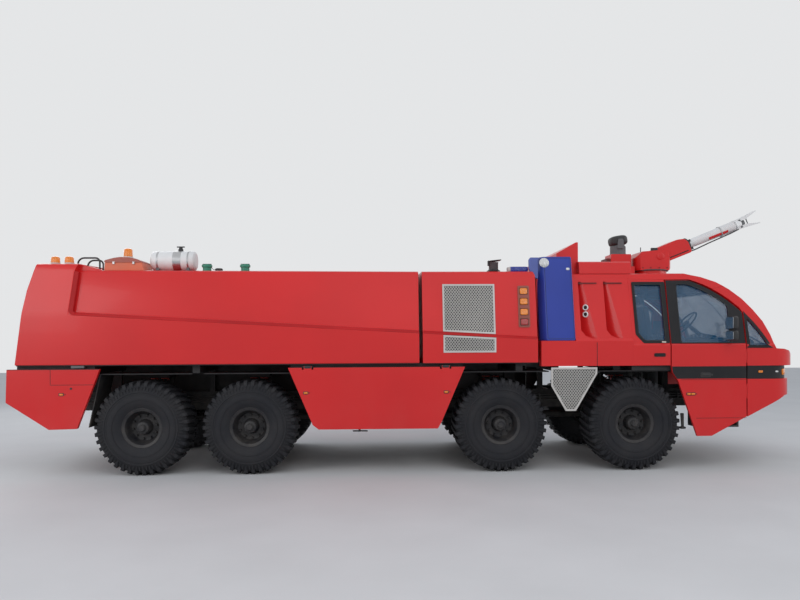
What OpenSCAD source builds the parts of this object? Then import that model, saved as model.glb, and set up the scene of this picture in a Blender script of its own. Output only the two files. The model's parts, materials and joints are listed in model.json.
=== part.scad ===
// Airport crash tender on eight wheels, 8x8, with a roof turret.
// Units are millimetres. X points forward, Y to the left side, Z up.
// Lengths along the vehicle are laid out from the rear-most axle and then
// shifted so that the origin lies on the ground under the middle of the whole.

/* [Wheels] */
// Diameter of a tyre over its lugs
tyre_d = 1330; // [1290:10:1370]
// Width of a tyre
tyre_w = 600; // [540:10:620]
// Diameter of the wheel rim
rim_d = 540; // [520:10:560]
// Spacing of the two rear axles
rear_pair = 1500; // [1450:10:1600]
// Distance between the third and the second axle
middle_gap = 3558; // [3400:20:3900]
// Spacing of the two front axles
front_pair = 1930; // [1880:10:2050]
// Diameter of the wheel spindles
spindle_d = 110; // [90:5:130]

/* [Body] */
// Width over the body sides
body_w = 3000; // [2900:10:3100]
// Height of the body's lower edge
body_low = 1555; // [1520:5:1600]
// Height of the roof edge
roof_edge_h = 2870; // [2800:10:2950]
// Rise of the roof from its edge to the middle
roof_crown = 45; // [20:5:70]
// Height of the crease at the rear end
crease_rear_h = 2235; // [2150:5:2300]
// Height of the crease at the front end of the engine module
crease_front_h = 1880; // [1860:5:1950]
// Height of the belt line of the cab
belt_h = 1790; // [1770:5:1840]
// Inset of the upper body above the crease
step_in = 40; // [20:5:60]
// Inward lean of the body sides, in degrees
body_lean = 8; // [5:1:10]
// Inward lean of the cab sides, in degrees
cab_lean = 12; // [9:1:13]
// Overhang behind the rear-most axle
rear_overhang = 1841; // [1750:10:1950]
// Length of the engine module
engine_module_len = 1636; // [1560:10:1680]
// Gap between the body modules
module_gap = 50; // [40:5:60]
// Thickness of the panels
panel_t = 60; // [50:5:70]

/* [Cab] */
// Radius of the bowed front, in plan
front_r = 5040; // [4960:20:5100]
// Radius of the cab's front corners, in plan
corner_r = 350; // [300:10:400]
// Radius of the windscreen's side profile
screen_r = 2019; // [2000:5:2040]
// Width of a cab door
door_w = 1100; // [1060:10:1140]
// Height of the door's lower edge
door_low = 487; // [470:5:560]
// Diameter of the steering wheel
steering_wheel_d = 480; // [420:10:500]

/* [Skirts] */
// Height of the lower edge of the side skirts
skirt_low = 630; // [600:5:680]
// Height of the top edge of the side skirts
skirt_top = 1500; // [1480:5:1510]
// Thickness of a skirt panel
skirt_t = 40; // [30:2:50]

/* [Turret] */
// Elevation of the barrel as parked, in degrees
barrel_angle = 21.5; // [10:0.5:30]
// Length of the barrel from its pivot to the nozzle's tip
barrel_len = 1836; // [1700:10:1900]
// Diameter of the barrel
barrel_d = 165; // [130:5:180]
// Height of the elevation pivot
pivot_h = 3215; // [3200:5:3260]

/* [Frame] */
// Height of the top of the frame rails
rail_top = 1100; // [1080:5:1130]
// Depth of a frame rail
rail_depth = 280; // [240:10:300]
// Width over the frame rails
frame_w = 900; // [860:10:940]
// Thickness of the rail's sheet
rail_t = 12; // [10:1:16]
// Diameter of the tow pins
tow_pin_d = 40; // [36:1:50]

/* [Hidden] */
$fn = 48;
tiny = 0.3;
pin_play = 0.1;
big = 20000;
right = -1;
left = 1;

// Axles, counted from the front as 1 to 4; X is measured from axle 4
axle_x = [0, rear_pair + middle_gap + front_pair, rear_pair + middle_gap, rear_pair, 0];
hub_h = tyre_d / 2;
half_w = body_w / 2;
tyre_out = 20;
wheel_y = half_w - tyre_out - tyre_w / 2;
kingpin_y = wheel_y - tyre_w / 2 + 70;
kingpin_d = 60;
rail_low = rail_top - rail_depth;
deck_h = rail_top + 330;
cab_floor_h = deck_h + panel_t;
arm_rise = 150;
arm_t = 40;

// Stations along the body
tail_x = -rear_overhang;
rear_body_x0 = tail_x + 122;
engine_x0 = axle_x[2] - 1110;
engine_x1 = engine_x0 + engine_module_len;
rear_body_x1 = engine_x0 - module_gap;
quarter_x0 = engine_x1 + module_gap;
quarter_x1 = axle_x[1] - 28;
door_front_x = axle_x[1] + 1614;
door_rear_x = door_front_x - door_w - 8;
drum_x = axle_x[1] - 2488;
screen_centre_r = 2945;
screen_centre_h = 900;
glass_t = 12;
gap = 8;

// Turret
turret_x = axle_x[1] + 812;
pivot_x = turret_x + 90;
nozzle_r = 110;
head_w = 440;
head_r = 320;

// The whole's extent along X, which sets the origin
front_most = pivot_x + barrel_len * cos(barrel_angle) + nozzle_r * sin(barrel_angle);
rear_most = tail_x;
mid_x = (front_most + rear_most) / 2;

module in_frame() {
    translate([-mid_x, 0, 0]) children();
}

module on_side(side) {
    if (side > 0) children();
    else mirror([0, 1, 0]) children();
}

module both_sides() {
    children();
    mirror([0, 1, 0]) children();
}

// A side view outline, given in X and Z, between two Y values
module side_plate(outline, y0, y1) {
    translate([0, y1, 0]) rotate([90, 0, 0]) linear_extrude(height = y1 - y0) polygon(outline);
}

// A cross section, given in Y and Z, between two X values
module section(outline, x0, x1) {
    translate([x0, 0, 0]) rotate([90, 0, 90]) linear_extrude(height = x1 - x0) polygon(outline);
}

// A plan view outline, given in X and Y, between two heights
module plan(outline, z0, z1) {
    translate([0, 0, z0]) linear_extrude(height = z1 - z0) polygon(outline);
}

module block(x0, x1, y0, y1, z0, z1) {
    translate([x0, y0, z0]) cube([x1 - x0, y1 - y0, z1 - z0]);
}

module rod_x(x0, x1, y, z, d) {
    translate([x0, y, z]) rotate([0, 90, 0]) cylinder(d = d, h = x1 - x0);
}

module rod_y(x, y0, y1, z, d) {
    translate([x, y1, z]) rotate([90, 0, 0]) cylinder(d = d, h = y1 - y0);
}

module rod_z(x, y, z0, z1, d) {
    translate([x, y, z0]) cylinder(d = d, h = z1 - z0);
}

// Points of an arc about a centre, from angle a0 to a1 in n steps
function arc(cx, cy, r, a0, a1, n) =
    [for (i = [0:n]) let (a = a0 + (a1 - a0) * i / n) [cx + r * cos(a), cy + r * sin(a)]];

function mirrored(points) = [for (i = [len(points) - 1:-1:0]) [-points[i][0], points[i][1]]];

// Half of a cross section with leaning sides: a step above the crease, a lean
// to the roof edge, a rounded edge and a crowned roof; inset shrinks it
function half_section(low, crease, edge_h, lean, step, inset) =
    let (w = half_w - inset,
         y_step = w - step,
         z_step = crease + step,
         y_edge = y_step - (edge_h - z_step) * tan(lean))
    [[w, low], [w, crease], [y_step, z_step],
     [y_edge, edge_h - inset - 40], [y_edge - 15, edge_h - inset - 12],
     [y_edge - 60, edge_h - inset], [0, edge_h - inset + roof_crown]];

function full_section(low, crease, edge_h, lean, step, inset) =
    let (h = half_section(low, crease, edge_h, lean, step, inset))
    concat(h, [for (i = [len(h) - 2:-1:0]) [-h[i][0], h[i][1]]]);

// Wheels

module wheel_place(i, side) {
    in_frame() on_side(side) translate([axle_x[i], wheel_y, hub_h]) rotate([-90, 0, 0]) children();
}

// Radius and height along the wheel's axis; height 0 is the middle, up is outward
module tyre(i, side) {
    r = tyre_d / 2;
    h = tyre_w / 2;
    bead = rim_d / 2;
    wheel_place(i, side) color("dimgray") rotate_extrude($fn = 72)
        polygon([[bead, -h + 90], [bead + 45, -h + 30], [r - 200, -h], [r - 80, -h + 15],
                 [r - 14, -h + 50], [r - 4, -h + 120], [r, 0], [r - 4, h - 120],
                 [r - 14, h - 50], [r - 80, h - 15], [r - 200, h], [bead + 45, h - 30],
                 [bead, h - 90]]);
}

module rim(i, side) {
    bead = rim_d / 2 - tiny;
    h = tyre_w / 2;
    hub_r = 100;
    disc_h = 60;
    wheel_place(i, side) color("darkslategray") difference() {
        union() {
            rotate_extrude($fn = 64)
                polygon([[bead - 30, -h + 75], [bead, -h + 90], [bead, h - 90], [bead + 12, h - 62],
                         [bead + 4, h - 56], [bead - 28, h - 70], [bead - 34, disc_h + 70],
                         [bead - 60, disc_h + 26], [hub_r + 20, disc_h + 20], [hub_r, disc_h + 60],
                         [hub_r - 12, disc_h + 150], [48, disc_h + 158], [44, disc_h + 185],
                         [0, disc_h + 185], [0, disc_h - 130], [hub_r, disc_h - 130],
                         [hub_r, disc_h], [bead - 60, disc_h - 4], [bead - 50, -h + 120]]);
            translate([0, 0, disc_h + 150]) cylinder(d = 90, h = 45, $fn = 6);
        }
        translate([0, 0, disc_h - 131]) cylinder(d = spindle_d + 2 * pin_play, h = 180);
    }
}

// Each front knuckle turns about a vertical kingpin and carries the wheel's spindle
module knuckle(i, side) {
    z0 = hub_h - arm_rise + arm_t / 2 + 5;
    z1 = hub_h + arm_rise - arm_t / 2 - 5;
    in_frame() on_side(side) translate([axle_x[i], 0, 0]) color("slategray") {
        rod_z(0, kingpin_y, z0, z1, 120);
        rod_z(0, kingpin_y, hub_h - arm_rise - arm_t / 2 - 12, hub_h + arm_rise + arm_t / 2 + 12, kingpin_d);
        rod_y(0, kingpin_y + 20, wheel_y - 90, hub_h, spindle_d + 70);
        rod_y(0, kingpin_y + 20, wheel_y + 105, hub_h, spindle_d);
    }
}

// An arm from the frame to its eye at the kingpin, with two roots on the frame
module wishbone(z, eye_y, pin) {
    root_y = frame_w / 2;
    difference() {
        union() {
            plan([[-210, root_y], [-140, root_y], [-20, eye_y - 60], [20, eye_y - 60],
                  [140, root_y], [210, root_y], [50, eye_y], [-50, eye_y]], z - arm_t / 2, z + arm_t / 2);
            rod_z(0, eye_y, z - arm_t / 2, z + arm_t / 2, 100);
        }
        if (pin) rod_z(0, eye_y, z - arm_t, z + arm_t, kingpin_d + 2 * pin_play);
    }
}

module suspension_arms() {
    in_frame() color("#2b2d30") both_sides() for (i = [1:4]) translate([axle_x[i], 0, 0]) {
        steered = i < 3;
        wishbone(hub_h + arm_rise, kingpin_y, steered);
        wishbone(hub_h - arm_rise, kingpin_y, steered);
        block(-210, -140, frame_w / 2 - 130, frame_w / 2, hub_h - arm_rise - arm_t / 2, hub_h - arm_rise + arm_t / 2);
        block(140, 210, frame_w / 2 - 130, frame_w / 2, hub_h - arm_rise - arm_t / 2, hub_h - arm_rise + arm_t / 2);
        if (!steered) {
            rod_z(0, kingpin_y, hub_h - arm_rise, hub_h + arm_rise, 110);
            rod_y(0, kingpin_y, wheel_y - 90, hub_h, spindle_d + 70);
            rod_y(0, kingpin_y, wheel_y + 105, hub_h, spindle_d);
        }
    }
}

// Coil springs round their dampers, from the upper arm to the frame's towers
module springs() {
    y = frame_w / 2 + 150;
    z0 = hub_h + arm_rise + arm_t / 2;
    z1 = rail_top + 230;
    turns = 6;
    pitch = (z1 - z0) / turns;
    in_frame() color("firebrick") both_sides() for (i = [1:4], dx = [-75, 75])
        translate([axle_x[i] + dx, y, z0]) rotate_extrude($fn = 32)
            polygon(concat([[0, 0]], [for (k = [0:turns - 1], p = [[48, 0.05], [66, 0.3], [66, 0.7], [48, 0.95]])
                [p[0], (k + p[1]) * pitch]], [[0, z1 - z0]]));
}

module drive_shafts() {
    in_frame() color("#3a3a3c") {
        for (i = [1:4]) translate([axle_x[i], 0, hub_h]) {
            rotate([90, 0, 0]) translate([0, 0, -130]) cylinder(r = housing_r, h = 260);
            both_sides() rod_y(0, 120, frame_w / 2 + 160, 0, 70);
            both_sides() rod_y(0, frame_w / 2 + 160, kingpin_y - 66, 0, 90);
        }
        rod_x(axle_x[4] + housing_r - 20, axle_x[3] - housing_r + 20, 0, hub_h, 110);
        rod_x(axle_x[3] + housing_r - 20, axle_x[3] + 1500, 0, hub_h, 110);
        block(axle_x[3] + 1480, axle_x[3] + 2100, -230, 230, hub_h - 130, hub_h + 190);
        rod_x(axle_x[3] + 2080, axle_x[2] - housing_r + 20, 0, hub_h, 110);
        rod_x(axle_x[2] + housing_r - 20, axle_x[1] - housing_r + 20, 0, hub_h, 110);
    }
}

// Frame

housing_r = rail_low + rail_t - tiny - hub_h;
rail_x0 = tail_x + 200;
rail_x1 = axle_x[1] + 1760;

module rail() {
    y1 = frame_w / 2;
    c = [[y1, rail_low], [y1, rail_top], [y1 - 80, rail_top], [y1 - 80, rail_top - rail_t],
         [y1 - rail_t, rail_top - rail_t], [y1 - rail_t, rail_low + rail_t],
         [y1 - 80, rail_low + rail_t], [y1 - 80, rail_low]];
    section(c, rail_x0, rail_x1);
}

// Stations of the frame's cross members: at both ends, over the axle housings and between
function member_x() = concat(
    [rail_x0 + 40, axle_x[4] - 720, axle_x[4], (axle_x[4] + axle_x[3]) / 2, axle_x[3]],
    [axle_x[3] + 1200, axle_x[3] + 2250, axle_x[2], (axle_x[2] + axle_x[1]) / 2],
    [axle_x[1], axle_x[1] + 900, rail_x1 - 40]);

// A cross beam above the rails that carries the body, on two posts
module outrigger(x, reach, z0, z1) {
    block(x - 50, x + 50, -reach, reach, z0, z1);
    both_sides() block(x - 40, x + 40, frame_w / 2 - 70, frame_w / 2 - 10, rail_top, z0);
}

module frame() {
    in_frame() color("#26282b") {
        both_sides() rail();
        for (x = member_x())
            block(x - 40, x + 40, -frame_w / 2 + rail_t, frame_w / 2 - rail_t, rail_low + rail_t, rail_top - rail_t);
        for (x = [rear_body_x0 + 250, axle_x[4] - 680, (axle_x[4] + axle_x[3]) / 2, axle_x[3] + 680, rear_body_x1 - 150])
            outrigger(x, half_w - 100, deck_h, body_low);
        for (x = [engine_x0 + 120, engine_x1 - 250]) outrigger(x, half_w - 100, deck_h, body_low);
        for (x = [quarter_x0 + 230, quarter_x1 - 200]) outrigger(x, half_w - 140, deck_h, body_low);
        for (x = [axle_x[1] + 420, axle_x[1] + 880]) outrigger(x, half_w - 570, deck_h - 60, deck_h);
        spring_towers();
        arm_hangers();
        skirt_sills();
        front_horns();
        side_tanks();
    }
}

// Plates from the rails down to the roots of the lower arms
module arm_hangers() {
    both_sides() for (i = [1:4], dx = [-210, 140])
        block(axle_x[i] + dx, axle_x[i] + dx + 70, frame_w / 2 - 60, frame_w / 2 - 10,
              hub_h - arm_rise + arm_t / 2, rail_low + 1);
}

// Towers on the rails over each pair of springs
module spring_towers() {
    z = rail_top + 230;
    both_sides() for (i = [1:4])
        block(axle_x[i] - 170, axle_x[i] + 170, frame_w / 2 - 60, frame_w / 2 + 240, z, z + 60);
    both_sides() for (i = [1:4], dx = [-160, 120])
        block(axle_x[i] + dx, axle_x[i] + dx + 40, frame_w / 2 - 60, frame_w / 2 - 10, rail_top, z);
}

sill_y1 = half_w - 60;
flap_pin_y = half_w - 12;
flap_pin_z = skirt_top + 12;
flap_x0 = axle_x[3] + 548;
flap_x1 = axle_x[2] - 515;
flap_hinges = [flap_x0 + 275, flap_x1 - 275];

// Sills under the body that carry the skirts, with the flaps' hinge pins
module skirt_sills() {
    both_sides() {
        block(flap_x0 + 30, flap_x1 - 30, sill_y1 - 60, sill_y1, deck_h, body_low);
        block(tail_x + 130, axle_x[4] - 640, sill_y1 - 60, sill_y1, deck_h, body_low);
        for (x = flap_hinges) {
            rod_x(x - 75, x + 75, flap_pin_y, flap_pin_z, 12);
            for (dx = [-75, 55])
                block(x + dx, x + dx + 20, sill_y1, flap_pin_y + 8, flap_pin_z - 8, flap_pin_z + 14);
        }
    }
}

// Horns from the rails' front ends up to the bumper's pad
horn_z0 = rail_top + 2;
horn_z1 = rail_top + 150;
pad_x = drum_x + front_r - 300;
module front_horns() {
    both_sides() block(rail_x1 - 260, pad_x, frame_w / 2 - 80, frame_w / 2, horn_z0 - 2, horn_z1);
    block(pad_x - 60, pad_x, -frame_w / 2, frame_w / 2, horn_z0, horn_z1 - 10);
}

// Air and fuel tanks hung beside the rails between the second and third axle
module side_tanks() {
    tank_r = 190;
    both_sides() {
        rod_x(flap_x0 + 420, flap_x1 - 420, frame_w / 2 + 260, skirt_low + tank_r + 20, 2 * tank_r);
        for (x = [flap_x0 + 700, flap_x1 - 760])
            block(x, x + 60, frame_w / 2 - 1, frame_w / 2 + 120, skirt_low + 150, skirt_low + 270);
    }
}

module engine_block() {
    in_frame() color("gray")
        block(engine_x0 + 180, engine_x1 - 380, -frame_w / 2 + 65, frame_w / 2 - 65, rail_top + tiny, rail_top + 650);
}

// Bodywork

function crease_at(x) =
    crease_rear_h + (crease_front_h - crease_rear_h) * (x - rear_body_x0) / (engine_x1 - rear_body_x0);

// A body length: full width up to the sloping crease, then stepped in and leaning
module body_length(x0, x1, inset) {
    low = body_low - (inset > 0 ? 10 : 0);
    slope = atan((crease_rear_h - crease_front_h) / (engine_x1 - rear_body_x0));
    z0 = crease_at(x0);
    // Lower part, chamfered along the sloping crease
    intersection() {
        block(x0, x1, -half_w + inset, half_w - inset, low, roof_edge_h - inset);
        translate([x0, 0, z0]) rotate([0, slope, 0]) rotate([90, 0, 90]) translate([0, 0, -500])
            linear_extrude(height = x1 - x0 + 1000)
            polygon([[half_w - inset, -big / 10], [half_w - inset, 0], [half_w - inset - step_in, step_in],
                     [-half_w + inset + step_in, step_in], [-half_w + inset, 0], [-half_w + inset, -big / 10]]);
    }
    upper = full_section(low, crease_front_h, roof_edge_h, body_lean, step_in, inset);
    intersection() {
        section(upper, x0, x1);
        block(x0, x1, -half_w + inset + step_in, half_w - inset - step_in, low, big / 4);
    }
}

hoop_x1 = rear_body_x0 + 860;
hoop_top = roof_edge_h + 100;

// Cross sections of the upper body and of the raised hoop at its tail
function roof_section(rise) = full_section(body_low, crease_front_h, roof_edge_h + rise, body_lean, step_in, 0);
function hoop_section(rise) = full_section(body_low, crease_rear_h - 150, hoop_top + rise, body_lean, 0, 0);

// The tank and locker body is one closed superstructure
module rear_body() {
    lean_back = 312;
    in_frame() color("firebrick") {
        body_length(hoop_x1 - 20, rear_body_x1, 0);
        intersection() {
            section(hoop_section(0), rear_body_x0, hoop_x1 + 270);
            side_plate([[rear_body_x0, body_low], [hoop_x1, body_low], [hoop_x1 - 60, crease_at(hoop_x1) + 60],
                        [hoop_x1, roof_edge_h], [hoop_x1 + 270, roof_edge_h], [hoop_x1, hoop_top + 200],
                        [rear_body_x0 + lean_back, hoop_top + 200]], -half_w, half_w);
        }
    }
}

// Height of the crowned roof at a distance y from the middle
function roof_at(y) =
    let (w = half_section(body_low, crease_front_h, roof_edge_h, body_lean, step_in, 0)[5][0])
    roof_edge_h + roof_crown * (1 - min(1, abs(y) / w));

grille_x0 = engine_x0 + 290;
grille_x1 = engine_x0 + 1040;
grille_z0 = 1700;
grille_z1 = 2680;

module engine_module() {
    in_frame() color("firebrick") difference() {
        intersection() {
            body_length(engine_x0, engine_x1, 0);
            side_plate([[engine_x0, body_low], [engine_x1, body_low], [engine_x1, roof_edge_h - 70],
                        [engine_x1 - 70, roof_edge_h + 80], [engine_x0, roof_edge_h + 80]], -half_w, half_w);
        }
        body_length(engine_x0 + panel_t, engine_x1 - panel_t, panel_t);
        block(grille_x0, grille_x1, -half_w - 10, half_w + 10, grille_z0, grille_z1);
        rod_z(engine_x1 - 545, -half_w + 500, roof_edge_h - 200, roof_edge_h + 200, 142);
    }
}

// A framed lattice of slats and bars that fills an opening in a leaning side
module grilles() {
    bars = 9;
    slats = 13;
    depth = 40;
    in_frame() color("silver") both_sides() {
        intersection() {
            union() {
                difference() {
                    block(grille_x0 + tiny, grille_x1 - tiny, half_w - 500, half_w, grille_z0 + tiny, grille_z1 - tiny);
                    block(grille_x0 + 30, grille_x1 - 30, half_w - 600, half_w + 10, grille_z0 + 30, grille_z1 - 30);
                }
                for (k = [1:slats]) let (z = grille_z0 + (grille_z1 - grille_z0) * k / (slats + 1))
                    block(grille_x0 + 20, grille_x1 - 20, half_w - 500, half_w, z - 6, z + 6);
                for (k = [1:bars]) let (x = grille_x0 + (grille_x1 - grille_x0) * k / (bars + 1))
                    block(x - 5, x + 5, half_w - 500, half_w, grille_z0 + 20, grille_z1 - 20);
            }
            difference() {
                body_length(engine_x0, engine_x1, 0);
                body_length(engine_x0 - 10, engine_x1 + 10, depth);
            }
        }
        arch_grille();
    }
}

// The grille between the two front wheels, hung under the cab's quarter
module arch_grille() {
    x0 = axle_x[2] + 712;
    x1 = axle_x[1] - 557;
    z1 = skirt_top - 20;
    outer = [[x0, z1], [x1, z1], [x1, 1390], [x1 - 310, 862], [x0 + 205, 862], [x0, 1218]];
    inner = [[x0 + 24, z1 - 24], [x1 - 24, z1 - 24], [x1 - 24, 1398], [x1 - 324, 886], [x0 + 218, 886],
             [x0 + 24, 1212]];
    difference() {
        side_plate(outer, half_w - 40, half_w);
        side_plate(inner, half_w - 22, half_w + 10);
    }
    block(x0 + 100, x1 - 100, half_w - 100, half_w - 40, z1 - 60, skirt_top - tiny);
}

module exhaust_stack() {
    x = engine_x1 - 545;
    in_frame() color("#222222") {
        rod_z(x, -half_w + 500, roof_edge_h - 190, roof_edge_h + 160, 140);
        translate([x - 80, -half_w + 400, roof_edge_h + 170]) rotate([0, -6, 0]) cube([190, 200, 14]);
        block(x - 85, x - 65, -half_w + 470, -half_w + 530, roof_edge_h + 110, roof_edge_h + 176);
    }
}

// Cab

function cab_section(low, crease, inset) =
    full_section(low, crease, roof_edge_h - 30, cab_lean, 20, inset);

// Profile of the bowed front as radius and height: sill, nose bulge, cowl and raked screen
function drum_profile(inset) =
    let (top = roof_edge_h + roof_crown + 60 - inset)
    concat([[0, 0], [front_r - inset, 0], [front_r - inset, 1630], [front_r - inset - 60, 1700],
            [front_r - 140 - inset, 1728]],
           [for (a = [24.5:6:73]) [screen_centre_r + (screen_r - inset) * cos(a),
                                   screen_centre_h + (screen_r - inset) * sin(a)]],
           [[3300, top], [0, top]]);

module drum(inset) {
    translate([drum_x, 0, 0]) rotate_extrude($fn = 240) polygon(drum_profile(inset));
}

// Plan of the front end: straight sides, rounded corners and the bow between them
function front_plan(x0, r, inset) =
    let (w = half_w - inset,
         rc = corner_r - inset,
         rr = r - inset,
         a = asin((w - rc) / (rr - rc)),
         cx = drum_x + (rr - rc) * cos(a),
         half = concat([[x0, w]], arc(cx, w - rc, rc, 90, a, 6), arc(drum_x, 0, rr, a * 0.75, 0, 3)))
    concat(half, [for (i = [len(half) - 2:-1:0]) [half[i][0], -half[i][1]]]);

module cab_solid(low, inset) {
    intersection() {
        section(cab_section(low, belt_h, inset), quarter_x1, drum_x + front_r + 100);
        drum(inset);
    }
}

module cab_shell(low) {
    difference() {
        cab_solid(low, 0);
        intersection() {
            section(cab_section(low - 10, belt_h, panel_t), quarter_x1 - 10, drum_x + front_r);
            drum(panel_t);
        }
    }
}

// Side view of the cab's pillar line, at a distance inside the silhouette
pillar_shift = 237;
function pillar_arc(inset, a0, a1, n) =
    arc(drum_x + screen_centre_r - pillar_shift, screen_centre_h, screen_r - inset, a0, a1, n);

door_top_h = 2735;
door_arc_in = 75;
header_r = 3820;
door_front_top = 44.5;

// Side view outline of the door, from the rear top corner round by the front
function door_outline() =
    let (x0 = door_rear_x + 15,
         x1 = door_front_x - gap)
    concat([[x0, skirt_top - 10], [x0, door_top_h]],
           pillar_arc(door_arc_in, 70.7, door_front_top, 6),
           [[x1, 2240], [x1, 759], [x1 - 510, door_low], [x1 - 720, door_low],
            [x1 - 990, 1274], [x1 - 1075, 1400]]);

function door_window() =
    let (x0 = door_rear_x + 155,
         x1 = door_front_x - 205)
    concat([[x0, belt_h + 25], [x0, 2685]], pillar_arc(130, 71, 51, 5), [[x1, belt_h + 25]]);

module cab_quarter() {
    crease = belt_h + 65;
    in_frame() color("firebrick") difference() {
        section(full_section(skirt_top, crease, roof_edge_h - 30, cab_lean, step_in, 0), quarter_x0, quarter_x1 - tiny);
        both_sides() scoop(quarter_x0 + 590, 1890, 2640);
        both_sides() scoop(quarter_x0 + 930, 1890, 2640);
        both_sides() lamp_seat();
        block(quarter_x0 - 10, quarter_x1 + 10, -half_w + 130, half_w - 130, skirt_top - 10, body_low + 0.01);
    }
}

// An air scoop: deepest at its rear edge and running out forward
module scoop(x, z0, z1) {
    plan_cut = [[x, half_w + 10], [x, half_w - 260], [x + 280, half_w + 10]];
    intersection() {
        plan(plan_cut, z0, z1);
        side_plate([[x, z1], [x, z0 + 120], [x + 60, z0 + 40], [x + 160, z0], [x + 290, z0], [x + 290, z1 - 30]],
                   half_w - 400, half_w + 20);
    }
}

blue_x1 = quarter_x0 + 500;
blue_z0 = 1860;
blue_z1 = 3083;
module lamp_seat() {
    block(quarter_x0 - 10, blue_x1, half_w - 300, half_w + 10, blue_z0, blue_z1);
}

// Tall blue lamps on the cab's rear corners
module blue_lamps() {
    top = roof_edge_h + 213;
    in_frame() color("mediumblue") {
        both_sides() intersection() {
            section([[half_w - 300 + tiny, blue_z0 + tiny], [half_w - 20, blue_z0 + tiny], [half_w - 20, blue_z0 + 60],
                     [half_w - 20 - (blue_z1 - blue_z0) * tan(cab_lean) * 0.85, blue_z1],
                     [half_w - 300 + tiny - 60, blue_z1], [half_w - 300 + tiny - 60, roof_edge_h + 60],
                     [half_w - 300 + tiny, roof_edge_h + 60]], quarter_x0 + 10, blue_x1 - tiny);
            plan([[quarter_x0 - 10, half_w - 500], [quarter_x0 + 10, half_w - 160], [quarter_x0 + 90, half_w + 10],
                  [blue_x1 + 10, half_w + 10], [blue_x1 + 10, half_w - 500]], blue_z0, top);
        }
        block(engine_x1 - 350, engine_x1 - 130, -half_w + 300, -half_w + 420, roof_at(-half_w + 420) + tiny,
              roof_at(-half_w + 420) + 66);
    }
}

module cab_floor() {
    z1 = cab_floor_h;
    in_frame() color("#33373b") {
        difference() {
            block(quarter_x1, axle_x[1] + 1900, -half_w + panel_t + 25, half_w - panel_t - 25, z1 - panel_t, z1);
            both_sides() block(axle_x[1] + 960, axle_x[1] + 1520, half_w - 400, half_w, z1 - 100, z1 + 10);
        }
        both_sides() {
            // Two steps under each door
            for (z = [door_low + 110, door_low + 480])
                block(axle_x[1] + 960, axle_x[1] + 1520, half_w - 400, half_w - 110, z, z + 30);
            for (x = [axle_x[1] + 930, axle_x[1] + 1520])
                block(x, x + 30, half_w - 400, half_w - 110, door_low + 110, z1 - panel_t);
        }
    }
}

rear_window = [[quarter_x1 + 70, 2680], [quarter_x1 + 480, 2680], [quarter_x1 + 480, 1850],
               [quarter_x1 + 170, 1850], [quarter_x1 + 80, 1960]];

module cab_sides() {
    in_frame() color("firebrick") difference() {
        intersection() {
            cab_shell(skirt_top);
            both_sides() side_plate([[quarter_x1, skirt_top], [door_rear_x, skirt_top], [door_rear_x, door_top_h + gap],
                                     [quarter_x1, door_top_h + gap]], half_w - 450, half_w + 10);
        }
        both_sides() side_plate(rear_window, 400, half_w + 20);
    }
}

// Roof panel with the header over the screen and the rails over the doors
module cab_roof() {
    rail_z = door_top_h + gap;
    in_frame() color("firebrick") intersection() {
        cab_shell(skirt_top);
        side_plate(concat([[quarter_x1, rail_z + tiny], [door_rear_x, rail_z + tiny]],
                          [[drum_x + 3350, rail_z + tiny]],
                          pillar_arc(door_arc_in - gap - 4, 70.5, 60, 3),
                          [[drum_x + 5000, pillar_arc(door_arc_in - gap - 4, 60, 59, 1)[0][1]],
                           [drum_x + 5000, 3200], [quarter_x1, 3200]]), -half_w, half_w);
    }
}

module cab_pillars() {
    z_join = pillar_arc(door_arc_in - gap - 4, 60, 59, 1)[0][1] - tiny;
    in_frame() color("firebrick") difference() {
        intersection() {
            cab_shell(skirt_top);
            both_sides() block(drum_x + 3000, drum_x + 5000, half_w - 430, half_w + 10, 1740, z_join);
            union() {
                both_sides() side_plate(concat(pillar_arc(door_arc_in - gap - 4, 62, 46.5, 3),
                                        [[door_front_x + gap, 2250], [door_front_x + gap, 1740],
                                         [drum_x + 5000, 1740], [drum_x + 5000, z_join + 100],
                                         [drum_x + 3600, z_join + 100]]), 400, half_w + 10);
            }
        }
        both_sides() side_plate(quarter_window(), 400, half_w + 20);
        screen_opening(0);
    }
}

function quarter_window() =
    let (x0 = door_front_x + 40,
         z0 = 1775,
         inset = 85,
         r = screen_r - inset,
         a0 = acos((x0 - drum_x - screen_centre_r + pillar_shift) / r),
         a1 = asin((z0 - screen_centre_h) / r))
    concat([[x0, z0]], pillar_arc(inset, a0, a1, 4));

// The opening that the windscreen fills, between the pillars
module screen_opening(shrink) {
    w = half_w - 175 - shrink;
    lean = tan(cab_lean);
    intersection() {
        section([[-w, 1740 + shrink], [w, 1740 + shrink], [w - 1050 * lean, 2800], [-w + 1050 * lean, 2800]],
                drum_x + 3600, drum_x + 5100);
    }
}

module cab_glass() {
    z_top = pillar_arc(door_arc_in - gap - 4, 60, 59, 1)[0][1] - 2 * tiny;
    in_frame() color("#37444c", 0.6) {
        intersection() {
            difference() {
                drum(20);
                drum(20 + glass_t);
            }
            screen_opening(0.5);
            block(drum_x + 3500, drum_x + 5100, -half_w, half_w, 1740, z_top);
        }
        both_sides() pane(rear_window);
        both_sides() pane(quarter_window());
    }
}

// A flat pane set in the leaning side, cut to an outline
module pane(outline) {
    intersection() {
        difference() {
            section(cab_section(skirt_top, belt_h, 20), quarter_x1, drum_x + 5000);
            section(cab_section(skirt_top - 10, belt_h, 20 + glass_t), quarter_x1 - 10, drum_x + 5010);
        }
        side_plate(outline, 400, half_w);
    }
}

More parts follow.
